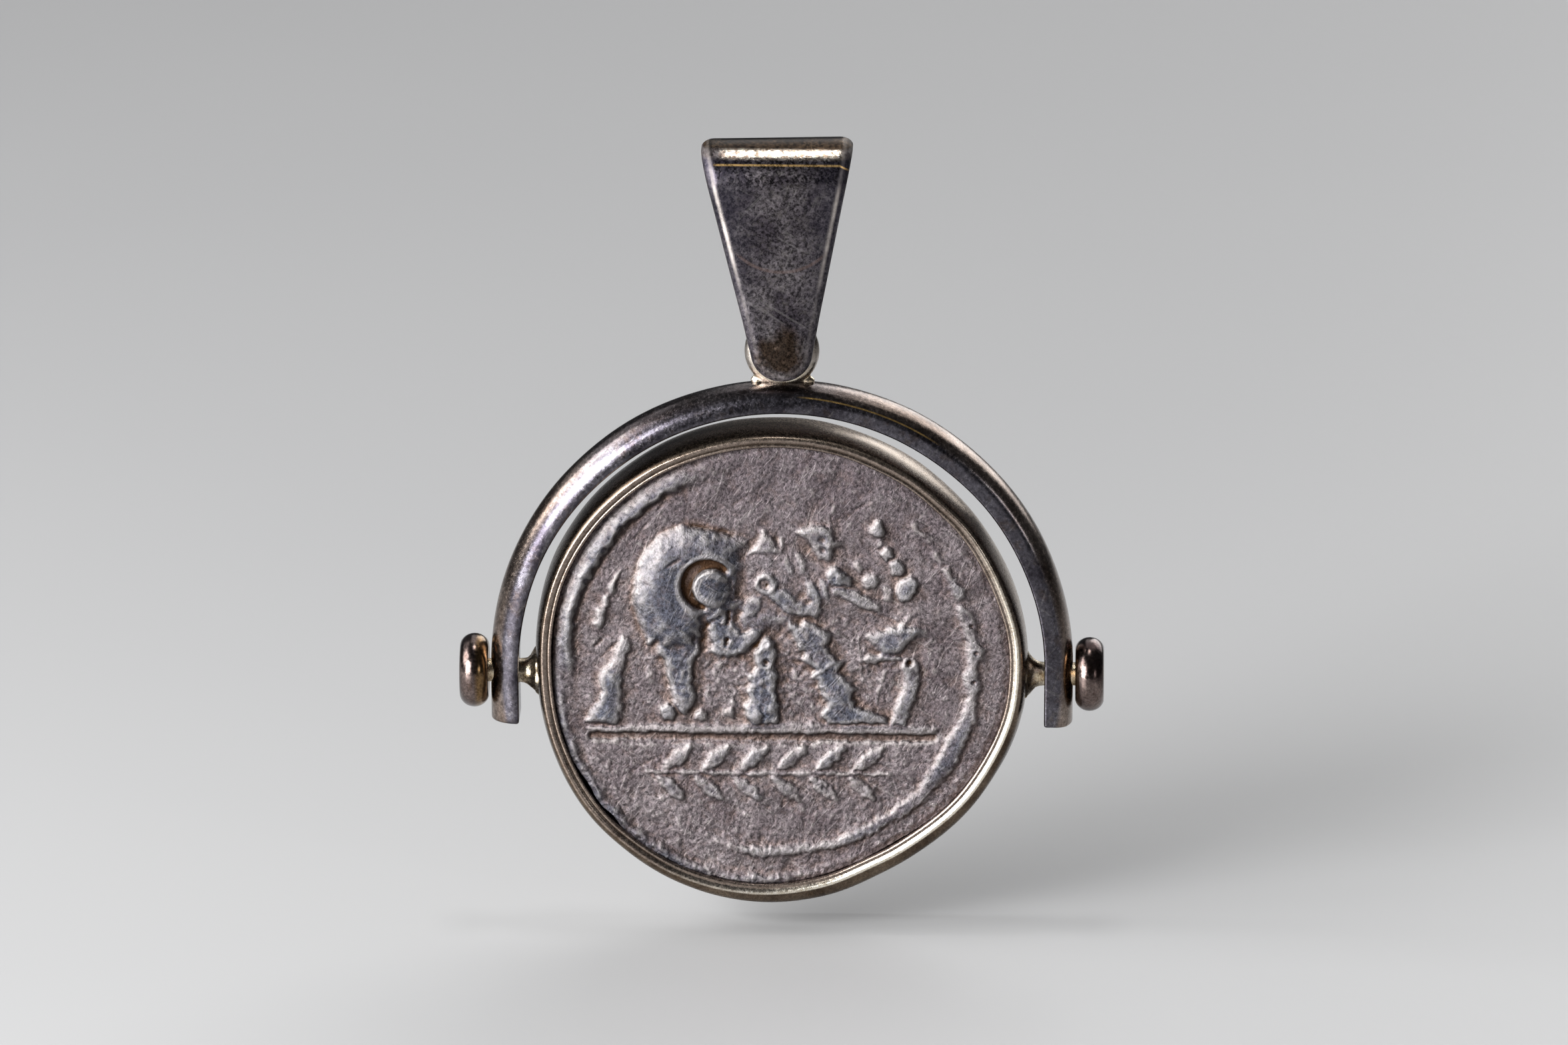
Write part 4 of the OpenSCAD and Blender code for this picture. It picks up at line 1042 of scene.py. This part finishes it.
# The edges are painted bright where the face turns over, and along the middle of the edge: partly worn
# silver and partly painted highlight. The turn-over line fades towards the tongues and up on the fold.
edge = attribute(tree, "edge")
turn_over = maths(tree, "MULTIPLY", stretch(tree, edge, 0.02, 0.10), stretch(tree, edge, 0.26, 0.14))
edge_sheen_and_wear = maths(tree, "MULTIPLY", turn_over, stretch(tree, skin["Patches"], 0, 1, 0.35, 1.0))
pin_height = post_z + pin_z * MM
above_tongue = stretch(tree, place_z, pin_height + 2.4 * MM, pin_height + 5.0 * MM, 0.10, 1.0)
below_fold = stretch(tree, place_z, fold_place_z + 0.3 * MM, fold_place_z - 0.7 * MM, 0.15, 1.0)
above_tongue = maths(tree, "MULTIPLY", above_tongue, below_fold)
edge_sheen_and_wear = maths(tree, "MULTIPLY", edge_sheen_and_wear, above_tongue)
middle_line = stretch(tree, edge, 0.9, 1.0, 0.0, 0.45)
rubbed = maths(tree, "MAXIMUM", edge_sheen_and_wear, middle_line)
colour = blend(tree, rubbed, colour, (0.74, 0.67, 0.62, 1))
stain_away = distance_from(tree, place, pin_height - 0.3 * MM)
ragged_away = maths(tree, "ADD", stretch(tree, skin["Patches"], 0, 1, -0.25 * MM, 0.25 * MM), stain_away)
stain = stretch(tree, ragged_away, 1.15 * MM, 0.65 * MM, 0.0, 0.92)
stain_colour = blend(tree, 0.9, (0.040, 0.026, 0.017, 1), speckle, "OVERLAY")
colour = blend(tree, stain, colour, stain_colour)
# A faint lighter arc across the face.
arc_mid, arc_r = post_z + 19.5 * MM, 2.43 * MM
arc_away = maths(tree, "ABSOLUTE", maths(tree, "SUBTRACT", distance_from(tree, place, arc_mid), arc_r))
arc_low = stretch(tree, place_z, post_z + 17.95 * MM, post_z + 17.6 * MM)
arc = maths(tree, "MULTIPLY", stretch(tree, arc_away, 0.09 * MM, 0.03 * MM, 0.0, 0.45), arc_low)
colour = blend(tree, arc, colour, (0.20, 0.14, 0.125, 1))
rough_face = stretch(tree, skin["Grain"], 0.3, 0.7, 0.20, 0.38)
rough = maths(tree, "MULTIPLY", rough_face, stretch(tree, worn, 0, 1, 1.0, 0.5))
edge_dull = maths(tree, "MULTIPLY", stretch(tree, edge, 0.02, 0.10),
    stretch(tree, above_tongue, 0.2, 1.0, 0.30, 0.0))
rough = maths(tree, "ADD", rough, edge_dull)
finish_silver(tree, skin, colour, rough, 0.4, 0.03)
bail.data.materials.append(dark_silver)
pin.data.materials.append(dark_silver)

# Floor, light and camera
# A plain pale floor just below the hanging coin, soft boxes above, to the left and to the right,
# and a long lens looking down a little.
hang_height = 10.65
bpy.ops.mesh.primitive_plane_add(size=4, location=(0, 0.8, post_z - hang_height * MM))
floor = settled("floor")
pale = bpy.data.materials.new("pale_floor")
pale.use_nodes = True
tree = pale.node_tree
shader = tree.nodes["Principled BSDF"]
place = add(tree, "ShaderNodeTexCoord").outputs["Object"]
cloudy = add(tree, "ShaderNodeTexNoise", {"Vector": place, "Scale": 9.0, "Detail": 3.0})
colour = blend(tree, cloudy.outputs["Fac"], (0.33, 0.33, 0.335, 1), (0.37, 0.37, 0.37, 1))
tree.links.new(colour, shader.inputs["Base Color"])
shader.inputs["Roughness"].default_value = 0.45
floor.data.materials.append(pale)

middle = Vector((post_x, 0, post_z + 4 * MM))
for name, from_middle, size, power in (
        ("box_above", (0.0, 0.0, 0.30), 0.05, 0.14),
        ("box_left", (-0.218, -0.228, 0.100), 0.17, 2.9),
        ("box_upper_left", (-0.25, -0.05, 0.16), 0.18, 1.0),
        ("box_right", (0.20, -0.22, 0.06), 0.03, 0.05),
        ("box_back", (0.06, 0.24, 0.30), 0.32, 0.32),
        ("box_back_left", (-0.24, 0.11, 0.22), 0.20, 0.10),
        ("box_back_right", (0.13, 0.25, 0.14), 0.20, 0.38)):
    bpy.ops.object.light_add(type="AREA", location=middle + Vector(from_middle))
    lamp = bpy.context.object
    lamp.name = name
    lamp.rotation_euler = (-Vector(from_middle)).to_track_quat("-Z", "Y").to_euler()
    lamp.data.size = size
    lamp.data.energy = power
world = bpy.data.worlds.new("studio")
world.use_nodes = True
world.node_tree.nodes["Background"].inputs["Color"].default_value = (0.9, 0.93, 1.0, 1)
world.node_tree.nodes["Background"].inputs["Strength"].default_value = 0.06
bpy.context.scene.world = world
bpy.context.scene.view_settings.view_transform = "Standard"

# The photograph takes in 63.6 mm across at the pendant, at 37 pixels to the mm.
rise = math.radians(15)
turn = math.radians(1.5)
distance = 0.6
view_width = 63.595
film_width = 36
right = Vector((math.cos(turn), math.sin(turn), 0))
up = Vector((-math.sin(turn) * math.sin(rise), math.cos(turn) * math.sin(rise), math.cos(rise)))
toward = Vector((math.sin(turn) * math.cos(rise), -math.cos(turn) * math.cos(rise), math.sin(rise)))
aim = Vector((post_x, 0, post_z)) + 0.081 * MM * right + 6.054 * MM * up
bpy.ops.object.camera_add(location=aim + distance * toward, rotation=(math.pi / 2 - rise, 0, turn))
camera = bpy.context.object
camera.data.sensor_width = film_width
camera.data.lens = film_width * distance / (view_width * MM)
camera.data.clip_start = 0.01
bpy.context.scene.camera = camera
